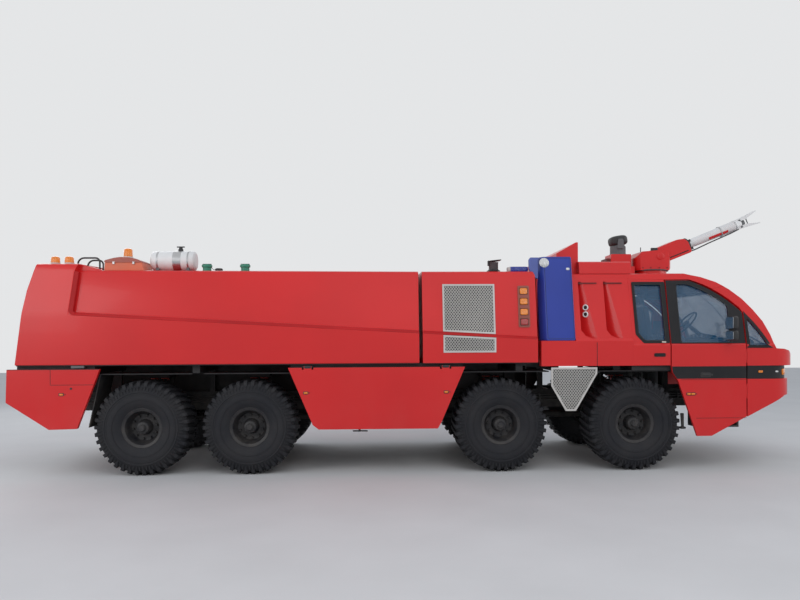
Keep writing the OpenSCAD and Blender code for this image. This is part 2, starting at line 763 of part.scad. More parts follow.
module nose() {
    in_frame() color("firebrick") {
        difference() {
            intersection() {
                union() {
                    plan(front_plan(door_front_x + gap, front_r, 0), skirt_top - 10, 1740 - tiny);
                }
                drum(0);
            }
            intersection() {
                plan(front_plan(door_front_x - 10, front_r - 0.1, panel_t), skirt_top - 20, 1700);
                block(0, big, -big, big, skirt_top - 20, 1700);
            }
            // The cowl stops behind the dashboard
            block(door_front_x - 100, door_front_x + 300, -half_w + panel_t + 1, half_w - panel_t - 1, 1600, 1800);
        }
        door_lugs(1560, 1700);
    }
}

door_pin_y = half_w - 7;
module door_lugs(z0, z1) {
    x = door_front_x;
    both_sides() {
        rod_z(x, door_pin_y, z0 - 30, z1 + 30, 8);
        for (z = [z0 - 30, z1])
            block(x - 5, x + gap + 2, door_pin_y - 6, door_pin_y + 6, z, z + 30);
    }
}

module lamp_band() {
    z0 = 1300;
    z1 = skirt_top - 10 - tiny;
    in_frame() color("#1d1f21") difference() {
        plan(front_plan(door_front_x + gap, front_r - 90, 0), z0, z1);
        plan(front_plan(door_front_x - 10, front_r - 90, panel_t), z0 - 10, z1 + 10);
    }
}

module bumper() {
    z1 = 1300 - tiny;
    r = front_r - 50;
    x0 = door_front_x + gap;
    in_frame() color("firebrick") {
        difference() {
            intersection() {
                plan(front_plan(x0, r, 0), 700, z1);
                side_plate([[x0, 760], [x0 + 580, 1060], [x0 + 1200, 1090], [x0 + 1200, z1], [x0, z1]], -half_w, half_w);
            }
            plan(front_plan(x0 - 10, r, panel_t), 690, z1 + 10);
        }
        intersection() {
            block(pad_x, drum_x + r, -frame_w / 2, frame_w / 2, horn_z0, horn_z1 - 10);
            plan(front_plan(x0, r, panel_t / 2), 900, z1);
        }
        door_lugs(1050, 1200);
    }
}

seat_y = [-720, 0, 720];
module seats() {
    in_frame() color("#55585c") for (y = seat_y) translate([door_rear_x, y, cab_floor_h]) {
        block(0, 480, -230, 230, 330, 450);
        block(60, 400, -180, 180, 0, 329.7);
        side_plate([[-130, 300], [0, 300], [0, 450.3], [-70, 900], [-180, 900]], -225, 225);
        side_plate([[-85, 900.3], [-165, 900.3], [-190, 1060], [-110, 1060]], -130, 130);
    }
}

module dashboard() {
    x0 = door_front_x - 40;
    hub = [x0 - 150, 0, cab_floor_h + 640];
    in_frame() color("#2a2c2f") {
        side_plate([[x0, cab_floor_h + tiny], [x0 + 330, cab_floor_h + tiny], [x0 + 330, 1690], [x0 + 260, 1860], [x0 + 60, 1900],
                    [x0, 1840]], -half_w + 230, half_w - 230);
        translate(hub) rotate([0, -50, 0]) {
            difference() {
                cylinder(d = steering_wheel_d, h = 26);
                translate([0, 0, -1]) cylinder(d = steering_wheel_d - 60, h = 28);
            }
            for (a = [0, 120, 240]) rotate([0, 0, a]) translate([0, -15, 5]) cube([steering_wheel_d / 2 - 20, 30, 12]);
            translate([0, 0, -420]) cylinder(d = 70, h = 435);
        }
    }
}

// Roof platform behind the turret, with a wedge cover at its rear end
module roof_fairing() {
    z0 = roof_edge_h - 80;
    z1 = roof_edge_h + 150;
    x0 = quarter_x0 + 570;
    x1 = axle_x[1] + 42;
    w0 = half_w - 20 - (roof_edge_h - belt_h) * tan(cab_lean) - 10;
    in_frame() color("firebrick") difference() {
        union() {
            section([[w0, z0], [w0 - 30, z1 - 20], [w0 - 60, z1], [-w0 + 60, z1], [-w0 + 30, z1 - 20], [-w0, z0]], x0, x1);
            block(x1 - 10, turret_x - head_r - 15, -230, 230, z0, z1 + 30);
            rod_z(turret_x, 0, z0, pivot_h - 230, 520);
            side_plate([[quarter_x0 + 235, z0], [x0 + 30, z0], [x0 + 30, z1 + 265], [x0, z1 + 265],
                        [quarter_x0 + 235, z1 + 60]], -half_w + 420, half_w - 420);
        }
        // Underside follows the crowned roof
        section(full_section(skirt_top, belt_h + 65, roof_edge_h - 30 + tiny, cab_lean, 20, 0), quarter_x0, drum_x + 5000);
    }
}

// Skirts

module tail_skirts() {
    x = axle_x[4];
    outline = [[tail_x + 15, skirt_top], [x - 553, skirt_top], [x - 868, skirt_low + 40], [x - 1255, skirt_low + 30],
               [tail_x, 1040]];
    in_frame() color("firebrick") both_sides() side_plate(outline, sill_y1, half_w);
}

// The mid skirt is a flap hinged along its top edge
module flap(side) {
    bottom = skirt_low;
    outline = [[flap_x0, skirt_top], [flap_x1, skirt_top], [flap_x1 - 334, bottom + 98], [flap_x1 - 388, bottom],
               [flap_x0 + 428, bottom], [flap_x0 + 345, bottom + 62]];
    in_frame() on_side(side) color("firebrick") difference() {
        union() {
            side_plate(outline, half_w - skirt_t, half_w);
            for (x = flap_hinges) {
                rod_x(x - 54, x + 54, flap_pin_y, flap_pin_z, 24);
                block(x - 54, x + 54, flap_pin_y - 10, flap_pin_y + 10, skirt_top - 20, flap_pin_z);
            }
        }
        for (x = flap_hinges) {
            rod_x(x - 80, x + 80, flap_pin_y, flap_pin_z, 12 + 2 * pin_play);
            // Notches that clear the sill's lugs
            for (dx = [-81, 54]) block(x + dx, x + dx + 27, half_w - 80, half_w + 10, flap_pin_z - 40, flap_pin_z + 40);
        }
    }
}

module mudguards() {
    in_frame() color("#202224") both_sides() {
        for (i = [1:4]) block(axle_x[i] - 640, axle_x[i] + 700, wheel_y - 240, half_w - 80, deck_h - 16, deck_h - tiny);
        side_plate([[axle_x[4] - 575, deck_h - 10], [axle_x[4] - 560, deck_h - 10], [axle_x[4] - 720, 680],
                    [axle_x[4] - 735, 680]], wheel_y - 240, sill_y1 - tiny);
    }
}

// Roof fittings: hoops, beacon hatch, drum and filler caps along the near edge
module roof_fittings() {
    z = roof_edge_h + 6;
    y = -half_w + 430;
    x0 = rear_body_x0;
    in_frame() difference() {
        union() {
        // Low hatch housing
        color("tomato") side_plate([[x0 + 1200, z], [x0 + 1225, z + 150], [x0 + 1780, z + 150], [x0 + 1850, z + 20],
                                    [x0 + 1850, z]], y - 170, y + 250);
        // Drum with its band and valve
        color("white") rod_x(x0 + 1870, x0 + 2520, y + 100, z + 150, 290);
        color("gray") rod_x(x0 + 2200, x0 + 2320, y + 100, z + 150, 300);
        color("gray") for (x = [x0 + 1960, x0 + 2400]) block(x, x + 40, y - 20, y + 220, z, z + 60);
        color("#222222") block(x0 + 2230, x0 + 2350, y + 60, y + 140, z + 290, z + 370);
        // Filler caps
        color("seagreen") for (x = [x0 + 2630, x0 + 3110]) rod_z(x, y, z - 5, z + 95, 150);
        color("#333333") rod_z(x0 + 2820, y, z - 5, z + 40, 110);
        // Grab hoops
        color("#222222") for (p = [[x0 + 900, 170], [x0 + 1030, 160]]) hoop(p[0], y - 60, z - 5, p[1] - 35);
        }
        // Undersides follow the crowned roof
        section(roof_section(tiny), hoop_x1 - 20, rear_body_x1);
        section(hoop_section(tiny), rear_body_x0, hoop_x1 + 270);
    }
}

module hoop(x, y, z, h) {
    rod_z(x, y, z, z + h, 26);
    rod_z(x + 180, y, z, z + h, 26);
    rod_x(x - 13, x + 193, y, z + h, 26);
}

module amber_lamps() {
    z = roof_edge_h + 105;
    y = -half_w + 330;
    in_frame() color("orange") {
        difference() {
            for (x = [rear_body_x0 + 560, rear_body_x0 + 760]) rod_z(x, y, z - 4, z + 115, 140);
            section(hoop_section(tiny), rear_body_x0, hoop_x1);
        }
        rod_z(rear_body_x0 + 1520, -half_w + 470, roof_edge_h + 156.3, roof_edge_h + 310, 140);
    }
}

module rear_ladder() {
    x = rear_body_x0 + 60;
    y = 620;
    in_frame() color("silver") {
        for (dy = [0, 380]) block(x - 30, x, y + dy, y + dy + 40, 900, body_low - tiny);
        for (k = [0:2]) block(x - 28, x - 2, y + 39, y + 381, 980 + k * 250, 1010 + k * 250);
    }
}

module rear_lamps() {
    in_frame() color("red") both_sides()
        block(tail_x + 16, tail_x + 60, half_w - 360, sill_y1 - tiny, skirt_top - 200, skirt_top - 60);
}

// Tow jaws: two ears with a vertical pin hole, at the tail and under the nose
jaw_z = rail_top - rail_depth / 2;
jaw_gap = 60;
ear_t = 25;
module jaw(x, dir) {
    translate([x, 0, jaw_z]) rotate([0, 0, dir > 0 ? 0 : 180]) difference() {
        union() {
            block(0, 30, -90, 90, -80, 80);
            for (z = [jaw_gap / 2, -jaw_gap / 2 - ear_t])
                plan(concat([[29, -60], [90, -60]], arc(90, 0, 60, -80, 80, 8), [[90, 60], [29, 60]]), z, z + ear_t);
        }
        rod_z(90, 0, -100, 100, tow_pin_d);
    }
}

module tow_jaws() {
    in_frame() color("#2f3133") {
        jaw(rail_x0, -1);
        jaw(rail_x1, 1);
    }
}

module thermal_camera() {
    x = turret_x - head_r - 165;
    z = roof_edge_h + 180 + tiny;
    in_frame() {
        color("firebrick") block(x - 165, x + 150, -150, 150, z, z + 120);
        color("#33373b") rod_z(x, 0, z + 119, z + 240, 240);
        color("#33373b") translate([x, 0, z + 300]) sphere(d = 250);
    }
}

// Cab doors with their windows

module door(side) {
    in_frame() on_side(side) color("firebrick") {
        difference() {
            intersection() {
                difference() {
                    section(cab_section(door_low, belt_h, 0), door_rear_x, door_front_x);
                    section(cab_section(door_low - 10, belt_h, 40), door_rear_x - 10, door_front_x + 10);
                }
                side_plate(door_outline(), 400, half_w + 10);
            }
            side_plate(door_window(), 400, half_w + 20);
        }
        for (z = [[1563, 1697], [1053, 1197]]) difference() {
            union() {
                rod_z(door_front_x, door_pin_y, z[0], z[1], 14);
                block(door_front_x - gap - 2, door_front_x, door_pin_y - 6, door_pin_y + 6, z[0], z[1]);
            }
            rod_z(door_front_x, door_pin_y, z[0] - 1, z[1] + 1, 8 + 2 * pin_play);
        }
    }
}

module door_glass(side) {
    in_frame() on_side(side) color("#37444c", 0.6) intersection() {
        difference() {
            section(cab_section(door_low, belt_h, 14), door_rear_x, door_front_x);
            section(cab_section(door_low - 10, belt_h, 14 + glass_t), door_rear_x - 10, door_front_x + 10);
        }
        side_plate(door_window(), 400, half_w);
    }
}

// Two mirror heads on arms from the door's front window post
module mirror_head(side) {
    x = door_front_x - 330;
    y = half_w + 110;
    in_frame() on_side(side) color("#1c1d1f") {
        block(x, x + 60, y - 70, y + 170, 2010, 2190);
        block(x, x + 60, y - 70, y + 170, 1850, 1990);
        rod_z(x + 40, y + 20, 1840, 2200, 24);
        // Arms that end on the door's leaning face
        difference() {
            for (z = [1880, 2150]) translate([x + 40, y + 20, z]) rotate([0, 90, -58]) cylinder(d = 22, h = 330);
            section(cab_section(door_low, belt_h, -tiny), door_rear_x, door_front_x);
        }
    }
}

// Turret

module turret_head() {
    z0 = pivot_h - 224;
    in_frame() color("firebrick") {
        difference() {
            translate([turret_x, 0, 0]) intersection() {
                rod_z(0, 0, z0 - 10, z0 + 400, 2 * head_r);
                side_plate([[-290, z0 + 210], [-290, z0], [240, z0], [290, z0 + 50], [290, z0 + 250], [170, z0 + 330],
                            [-210, z0 + 300]], -head_w / 2, head_w / 2);
            }
            // Fork for the barrel's cradle
            block(turret_x - 130, turret_x + 400, -head_w / 2 + 60, head_w / 2 - 60, z0 + 40, z0 + 500);
            rod_y(pivot_x, -head_w, head_w, pivot_h, 60 + 2 * pin_play);
        }
        rod_z(turret_x, 0, z0 - 6 + tiny, z0 + 1, 300);
    }
}

module turret_barrel() {
    in_frame() translate([pivot_x, 0, pivot_h]) {
        color("firebrick") rod_y(0, -head_w / 2 - 6, head_w / 2 + 6, 0, 60);
        rotate([0, -barrel_angle, 0]) {
            color("firebrick") side_plate([[-60, -100], [100, -130], [560, -130], [580, 80], [480, 130], [380, 140], [-60, 100]],
                                          -head_w / 2 + 66, head_w / 2 - 66);
            color("white") rod_x(570, barrel_len - 260, 0, 0, barrel_d);
            color("silver") translate([barrel_len - 261, 0, 0]) rotate([0, 90, 0])
                cylinder(d1 = barrel_d, d2 = 2 * nozzle_r, h = 261);
        }
    }
}

for (i = [1:4], s = [["right", right], ["left", left]]) {
    tyre(i, s[1]);
    rim(i, s[1]);
}
for (i = [1:2], s = [["right", right], ["left", left]])
    knuckle(i, s[1]);
suspension_arms();
springs();
drive_shafts();
frame();
engine_block();
rear_body();
engine_module();
grilles();
exhaust_stack();
cab_quarter();
cab_floor();
cab_sides();
cab_roof();
cab_pillars();
nose();
lamp_band();
bumper();
cab_glass();
seats();
dashboard();
blue_lamps();
roof_fairing();
tail_skirts();
mudguards();
roof_fittings();
amber_lamps();
rear_ladder();
rear_lamps();
tow_jaws();
thermal_camera();
door(right);  // door_right
door(left);  // door_left
door_glass(right);  // door_glass_right
door_glass(left);  // door_glass_left
mirror_head(right);  // mirror_right
mirror_head(left);  // mirror_left
flap(right);  // flap_right
flap(left);  // flap_left
turret_head();
turret_barrel();
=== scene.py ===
"""Looks of the eight-wheel airport crash tender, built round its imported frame.

Lengths are metres: X forward, Y left, Z up, ground at Z = 0. Shapes are drawn with X counted
ahead from the rear-most axle, and `piece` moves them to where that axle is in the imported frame.
"""

import json
import logging
import math
from dataclasses import dataclass, field
from enum import Enum
from functools import lru_cache
from typing import Callable, Iterable, Sequence

import bmesh
import bpy
import numpy as np
from mathutils import Euler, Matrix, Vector
from mathutils.geometry import tessellate_polygon

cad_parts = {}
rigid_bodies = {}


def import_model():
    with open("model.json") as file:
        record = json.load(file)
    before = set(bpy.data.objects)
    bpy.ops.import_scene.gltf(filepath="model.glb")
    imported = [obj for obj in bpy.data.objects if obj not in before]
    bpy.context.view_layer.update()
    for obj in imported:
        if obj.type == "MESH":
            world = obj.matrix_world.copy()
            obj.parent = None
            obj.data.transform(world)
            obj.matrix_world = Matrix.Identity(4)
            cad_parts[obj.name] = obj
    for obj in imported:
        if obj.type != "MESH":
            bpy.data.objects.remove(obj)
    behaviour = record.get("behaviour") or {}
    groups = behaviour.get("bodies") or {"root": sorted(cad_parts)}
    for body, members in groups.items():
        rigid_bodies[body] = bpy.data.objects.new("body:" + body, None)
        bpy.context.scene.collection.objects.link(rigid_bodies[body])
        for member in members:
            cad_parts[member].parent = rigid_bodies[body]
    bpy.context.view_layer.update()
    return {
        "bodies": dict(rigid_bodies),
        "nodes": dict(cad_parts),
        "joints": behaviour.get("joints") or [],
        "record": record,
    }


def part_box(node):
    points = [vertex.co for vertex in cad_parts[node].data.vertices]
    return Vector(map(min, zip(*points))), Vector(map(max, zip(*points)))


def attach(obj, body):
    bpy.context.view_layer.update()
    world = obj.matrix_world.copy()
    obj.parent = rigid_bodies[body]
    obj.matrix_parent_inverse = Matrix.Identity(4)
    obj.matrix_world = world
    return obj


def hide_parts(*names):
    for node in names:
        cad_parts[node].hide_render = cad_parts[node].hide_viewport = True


LOG = logging.getLogger("crash_tender")
Colour = tuple[float, float, float]
Outline = Sequence[tuple[float, float]]


class Side(Enum):
    """The two sides of the truck, with the sign of Y on each."""

    RIGHT = -1
    LEFT = 1

    @property
    def word(self) -> str:
        """The side's name as it stands in the names of nodes and bodies."""
        return self.name.lower()


# Shapes


@dataclass(frozen=True)
class Shape:
    """Points and faces of a mesh before it becomes an object."""

    points: np.ndarray
    faces: tuple[tuple[int, ...], ...]

    def moved(self, x: float = 0.0, y: float = 0.0, z: float = 0.0) -> "Shape":
        """The shape shifted by a vector."""
        return Shape(self.points + np.array([x, y, z]), self.faces)

    def turned(self, axis: str, degrees: float, centre: Sequence[float] = (0, 0, 0)) -> "Shape":
        """Turns the shape.

        Args:
            axis: X, Y or Z.
            degrees: Angle by the right-hand rule.
            centre: A point on the axis.

        Returns:
            The turned shape.
        """
        turn = {"X": (1, 0, 0), "Y": (0, 1, 0), "Z": (0, 0, 1)}[axis]
        matrix = np.array(Euler(Vector(turn) * math.radians(degrees)).to_matrix())
        offset = np.array(centre, float)
        return Shape((self.points - offset) @ matrix.T + offset, self.faces)

    def on(self, side: Side) -> "Shape":
        """The shape as drawn for the left, or its mirror image on the right."""
        if side is Side.LEFT:
            return self
        return Shape(self.points * np.array([1, -1, 1]), tuple(face[::-1] for face in self.faces))

    def mapped(self, rule: Callable[[np.ndarray], np.ndarray]) -> "Shape":
        """The shape with every point put through a rule on whole arrays."""
        return Shape(rule(self.points), self.faces)


def joined(shapes: Iterable[Shape]) -> Shape:
    """One shape that holds several."""
    points, faces, start = [], [], 0
    for shape in shapes:
        points.append(shape.points)
        faces.extend(tuple(i + start for i in face) for face in shape.faces)
        start += len(shape.points)
    return Shape(np.vstack(points), tuple(faces))


def surface(grid: np.ndarray, around: bool = False, along: bool = False, caps: bool = False) -> Shape:
    """A surface over a grid of points.

    Args:
        grid: Points in rows, of shape rows x columns x 3.
        around: Joins the last column to the first.
        along: Joins the last row to the first.
        caps: Closes the first and the last row with one face each.

    Returns:
        The surface, one four-sided face for each cell of the grid.
    """
    rows, columns = grid.shape[:2]
    index = np.arange(rows * columns).reshape(rows, columns)
    if around:
        index = np.hstack([index, index[:, :1]])
    if along:
        index = np.vstack([index, index[:1]])
    cells = np.stack([index[:-1, :-1], index[:-1, 1:], index[1:, 1:], index[1:, :-1]], axis=-1)
    faces = [tuple(cell) for cell in cells.reshape(-1, 4).tolist()]
    if caps:
        faces.append(tuple(range(columns))[::-1])
        faces.append(tuple(range((rows - 1) * columns, rows * columns)))
    return Shape(grid.reshape(-1, 3).astype(float), tuple(faces))


def brick(x: tuple[float, float], y: tuple[float, float], z: tuple[float, float]) -> Shape:
    """A block between two values on each axis."""
    low, high = np.array([x[0], y[0], z[0]]), np.array([x[1], y[1], z[1]])
    ring = np.array([[0, 0], [1, 0], [1, 1], [0, 1]])
    grid = np.array([[[a, b, level] for a, b in ring] for level in (0, 1)], float)
    return surface(low + grid * (high - low), around=True, caps=True)


def lathe(profile: Outline, segments: int = 48, centre: Sequence[float] = (0, 0, 0), axis: str = "Z") -> Shape:
    """A turned shape: each profile point, a radius and a height, is carried round a circle.

    Args:
        profile: Radius and height pairs, from the bottom up.
        segments: Steps round the circle.
        centre: Place of radius 0 and height 0.
        axis: The axis that height runs along, X, Y or Z.

    Returns:
        The closed or open turned surface; ends at radius 0 are closed.
    """
    radius, height = np.array(profile, float).T
    angle = np.linspace(0, 2 * np.pi, segments, endpoint=False)
    first, second = np.cos(angle), np.sin(angle)
    flat = np.stack([radius[:, None] * first, radius[:, None] * second,
                     np.repeat(height[:, None], segments, 1)], axis=-1)
    order = {"Z": (0, 1, 2), "X": (2, 0, 1), "Y": (1, 2, 0)}[axis]
    closed = np.allclose(profile[0], profile[-1])
    shape = surface(flat[:-1] if closed else flat, around=True, along=closed, caps=not closed)
    return Shape(shape.points[:, order], shape.faces).moved(*centre)


def tube(path: Sequence[Sequence[float]], radius: float | Sequence[float], sides: int = 12) -> Shape:
    """A round bar along a path: at each point a circle stands square to the path.

    Args:
        path: Points of the bar's middle line.
        radius: One radius, or one for each point.
        sides: Corners of the circle.

    Returns:
        The closed bar.
    """
    line = np.array(path, float)
    heading = np.gradient(line, axis=0)
    heading /= np.linalg.norm(heading, axis=1, keepdims=True)
    across = np.zeros_like(line)
    guide = np.array([0.0, 0.0, 1.0]) if abs(heading[0][2]) < 0.9 else np.array([1.0, 0.0, 0.0])
    for i, direction in enumerate(heading):
        guide = guide - direction * np.dot(guide, direction)
        guide /= np.linalg.norm(guide)
        across[i] = guide
    other = np.cross(heading, across)
    angle = np.linspace(0, 2 * np.pi, sides, endpoint=False)
    spread = np.broadcast_to(np.asarray(radius, float), (len(line),))[:, None, None]
    grid = line[:, None] + spread * (across[:, None] * np.cos(angle)[:, None] + other[:, None] * np.sin(angle)[:, None])
    return surface(grid, around=True, caps=True)


def arc_points(centre: tuple[float, float], radius: float, start: float, end: float, steps: int) -> list[tuple[float, float]]:
    """Points on an arc, from a start to an end angle in degrees."""
    angle = np.radians(np.linspace(start, end, steps + 1))
    return list(zip(centre[0] + radius * np.cos(angle), centre[1] + radius * np.sin(angle)))


def round_rectangle(low: tuple[float, float], high: tuple[float, float], radius: float, steps: int = 5) -> list[tuple[float, float]]:
    """Outline of a rectangle with round corners."""
    (a, b), (c, d) = low, high
    corners = [((c - radius, b + radius), -90), ((c - radius, d - radius), 0),
               ((a + radius, d - radius), 90), ((a + radius, b + radius), 180)]
    return [p for centre, start in corners for p in arc_points(centre, radius, start, start + 90, steps)]


def prism(outline: Outline, near: float, far: float, axis: str = "Y") -> Shape:
    """An outline carried straight along an axis.

    Args:
        outline: Points in the plane square to the axis: X and Z for Y, Y and Z for X, X and Y for Z.
        near: Where the prism starts on the axis.
        far: Where it ends.
        axis: X, Y or Z.

    Returns:
        The closed prism.
    """
    flat = np.array(outline, float)
    area = np.sum(flat[:, 0] * np.roll(flat[:, 1], -1) - np.roll(flat[:, 0], -1) * flat[:, 1])
    if area < 0:
        flat = flat[::-1]
    near, far = min(near, far), max(near, far)
    grid = np.stack([np.column_stack([flat, np.full(len(flat), level)]) for level in (near, far)])
    order = {"Z": (0, 1, 2), "X": (2, 0, 1), "Y": (0, 2, 1)}[axis]
    shape = surface(grid, around=True, caps=True)
    faces = shape.faces if axis != "Y" else tuple(face[::-1] for face in shape.faces)
    return Shape(shape.points[:, order], faces)


def rounded(outline: Outline, radius: float, steps: int = 5) -> list[tuple[float, float]]:
    """An outline with its corners rounded.

    Each corner C gives way to the curve (1-t)^2 A + 2t(1-t) C + t^2 B between the points A and B
    that lie `radius` away from it along its two edges, or half an edge where that is less.
    """
    corner = np.array(outline, float)
    back, front = np.roll(corner, 1, 0) - corner, np.roll(corner, -1, 0) - corner
    reach = [np.minimum(radius, np.linalg.norm(way, axis=1) * 0.49)[:, None] for way in (back, front)]
    first = corner + back / np.linalg.norm(back, axis=1)[:, None] * reach[0]
    last = corner + front / np.linalg.norm(front, axis=1)[:, None] * reach[1]
    t = np.linspace(0, 1, steps + 1)[None, :, None]
    curve = (1 - t) ** 2 * first[:, None] + 2 * t * (1 - t) * corner[:, None] + t ** 2 * last[:, None]
    return [tuple(p) for p in curve.reshape(-1, 2)]


def grown(outline: Outline, distance: float) -> list[tuple[float, float]]:
    """An outline moved outwards all round: each corner goes along its mean normal."""
    flat = np.array(outline, float)
    area = np.sum(flat[:, 0] * np.roll(flat[:, 1], -1) - np.roll(flat[:, 0], -1) * flat[:, 1])
    edge = np.roll(flat, -1, 0) - flat
    normal = np.column_stack([edge[:, 1], -edge[:, 0]]) / np.linalg.norm(edge, axis=1)[:, None] * np.sign(area)
    mean = normal + np.roll(normal, 1, 0)
    mean *= 2 / np.sum(mean ** 2, axis=1)[:, None]
    return [tuple(p) for p in flat + mean * distance]


def cut_plate(outer: Outline, holes: Sequence[Outline], near: float, far: float) -> Shape:
    """A plate with holes, drawn in X and Z and carried along Y from near to far.

    Both faces are filled with triangles between the outlines, and every outline gets a wall.
    """
    loops = [list(outer), *[list(hole) for hole in holes]]
    flat = np.array([p for loop in loops for p in loop], float)
    count = len(flat)
    fill = tessellate_polygon([[Vector((x, z, 0)) for x, z in loop] for loop in loops])
    points = np.vstack([np.column_stack([flat[:, 0], np.full(count, y), flat[:, 1]]) for y in (near, far)])
    faces = []
    for a, b, c in fill:
        (ax, az), (bx, bz), (cx, cz) = flat[a], flat[b], flat[c]
        turn = (bx - ax) * (cz - az) - (bz - az) * (cx - ax)
        if abs(turn) > 1e-12:
            face = (a, b, c) if turn > 0 else (a, c, b)
            faces += [face, tuple(i + count for i in face[::-1])]
    start = 0
    for k, loop in enumerate(loops):
        ring = np.array(loop, float)
        area = np.sum(ring[:, 0] * np.roll(ring[:, 1], -1) - np.roll(ring[:, 0], -1) * ring[:, 1])
        index = np.arange(start, start + len(loop))
        if (area > 0) != (k == 0):
            index = index[::-1]
        after = np.roll(index, -1)
        faces += np.stack([after, index, index + count, after + count], axis=-1).tolist()
        start += len(loop)
    return Shape(points, tuple(tuple(face) for face in faces))


def hatch(outline: Outline, pitch: float, width: float, degrees: float, near: float, far: float) -> Shape:
    """Parallel flat bars that fill a convex outline in X and Z.

    A bar's middle line c n + t d is kept where it is inside every edge's half-plane.

    Args:
        outline: The convex outline.
        pitch: Distance from bar to bar.
        width: Width of a bar.
        degrees: Direction of the bars, from X towards Z.
        near: Y of one face.
        far: Y of the other.

    Returns:
        All the bars.
    """
    flat = np.array(outline, float)
    edge = np.roll(flat, -1, 0) - flat
    area = np.sum(flat[:, 0] * np.roll(flat[:, 1], -1) - np.roll(flat[:, 0], -1) * flat[:, 1])
    inward = np.column_stack([-edge[:, 1], edge[:, 0]]) * np.sign(area)
    limit = np.sum(inward * flat, axis=1)
    d = np.array([math.cos(math.radians(degrees)), math.sin(math.radians(degrees))])
    n = np.array([-d[1], d[0]])
    level = flat @ n
    bars = []
    for c in np.arange(level.min() + pitch / 2, level.max(), pitch):
        slope, rest = inward @ d, limit - c * (inward @ n)
        low = np.max(rest[slope > 1e-9] / slope[slope > 1e-9])
        high = np.min(rest[slope < -1e-9] / slope[slope < -1e-9])
        if high - low > width:
            corners = [c * n + t * d + s * n * width / 2 for t, s in ((low, -1), (high, -1), (high, 1), (low, 1))]
            bars.append(prism([tuple(p) for p in corners], near, far))
    return joined(bars)


def pod(low: Sequence[float], high: Sequence[float], power: float = 0.3, steps: int = 10) -> Shape:
    """A rounded block: the superellipsoid between two corners.

    With c(w) = sign(cos w) |cos w|^power and s(w) likewise, a point is the centre plus the half size
    times (c(v) c(u), c(v) s(u), s(v)).
    """
    low, high = np.array(low, float), np.array(high, float)
    u = np.linspace(0, 2 * np.pi, 4 * steps, endpoint=False)
    v = np.linspace(-0.5 * np.pi, 0.5 * np.pi, 2 * steps + 1)[1:-1, None]
    bent = [np.sign(f) * np.abs(f) ** power for f in (np.cos(u), np.sin(u), np.cos(v), np.sin(v))]
    grid = np.stack([bent[2] * bent[0], bent[2] * bent[1], np.repeat(bent[3], len(u), 1)], axis=-1)
    return surface((low + high) / 2 + grid * (high - low) / 2, around=True, caps=True)


def helix(centre: Sequence[float], radius: float, rise: float, turns: float, wire: float, steps: int = 16) -> Shape:
    """A coil spring: a round wire along (r cos a, r sin a, rise a / 2 pi turns), with closed end turns."""
    a = np.linspace(0, 2 * np.pi * turns, int(turns * steps) + 1)
    t = a / a[-1]
    lift = rise * np.clip((t - 0.06) / 0.88, 0, 1)
    path = np.column_stack([centre[0] + radius * np.cos(a), centre[1] + radius * np.sin(a), centre[2] + lift])
    return tube(path, wire, 8)


@dataclass(frozen=True)
class Flank:
    """The outer face of a side: upright below the crease, then stepped in and leaning.

    Y = half below the crease; above crease + step it is half - step - (z - crease - step) tan(lean).
    """

    crease: float
    step: float
    lean: float
    half: float = 1.5

    def y(self, z: np.ndarray) -> np.ndarray:
        """Distance of the face from the middle plane at heights z."""
        above = self.half - self.step - (z - self.crease - self.step) * math.tan(math.radians(self.lean))
        chamfer = self.half - (z - self.crease)
        return np.where(z <= self.crease, self.half, np.where(z <= self.crease + self.step, chamfer, above))

    def hang(self, shape: Shape) -> Shape:
        """Sets a shape drawn against Y = 0 on the face; its Y stays the distance out of the face."""
        return shape.mapped(lambda p: np.column_stack([p[:, 0], p[:, 1] + self.y(p[:, 2]), p[:, 2]]))


TANK_FLANK = Flank(1.88, 0.04, 8.0)
QUARTER_FLANK = Flank(1.855, 0.04, 12.0)
CAB_FLANK = Flank(1.79, 0.02, 12.0)
LOWER_FLANK = Flank(9.0, 0.0, 0.0)
TAIL_FLANK = Flank(2.295, 0.001, 8.0, 1.5005)


# Finishes


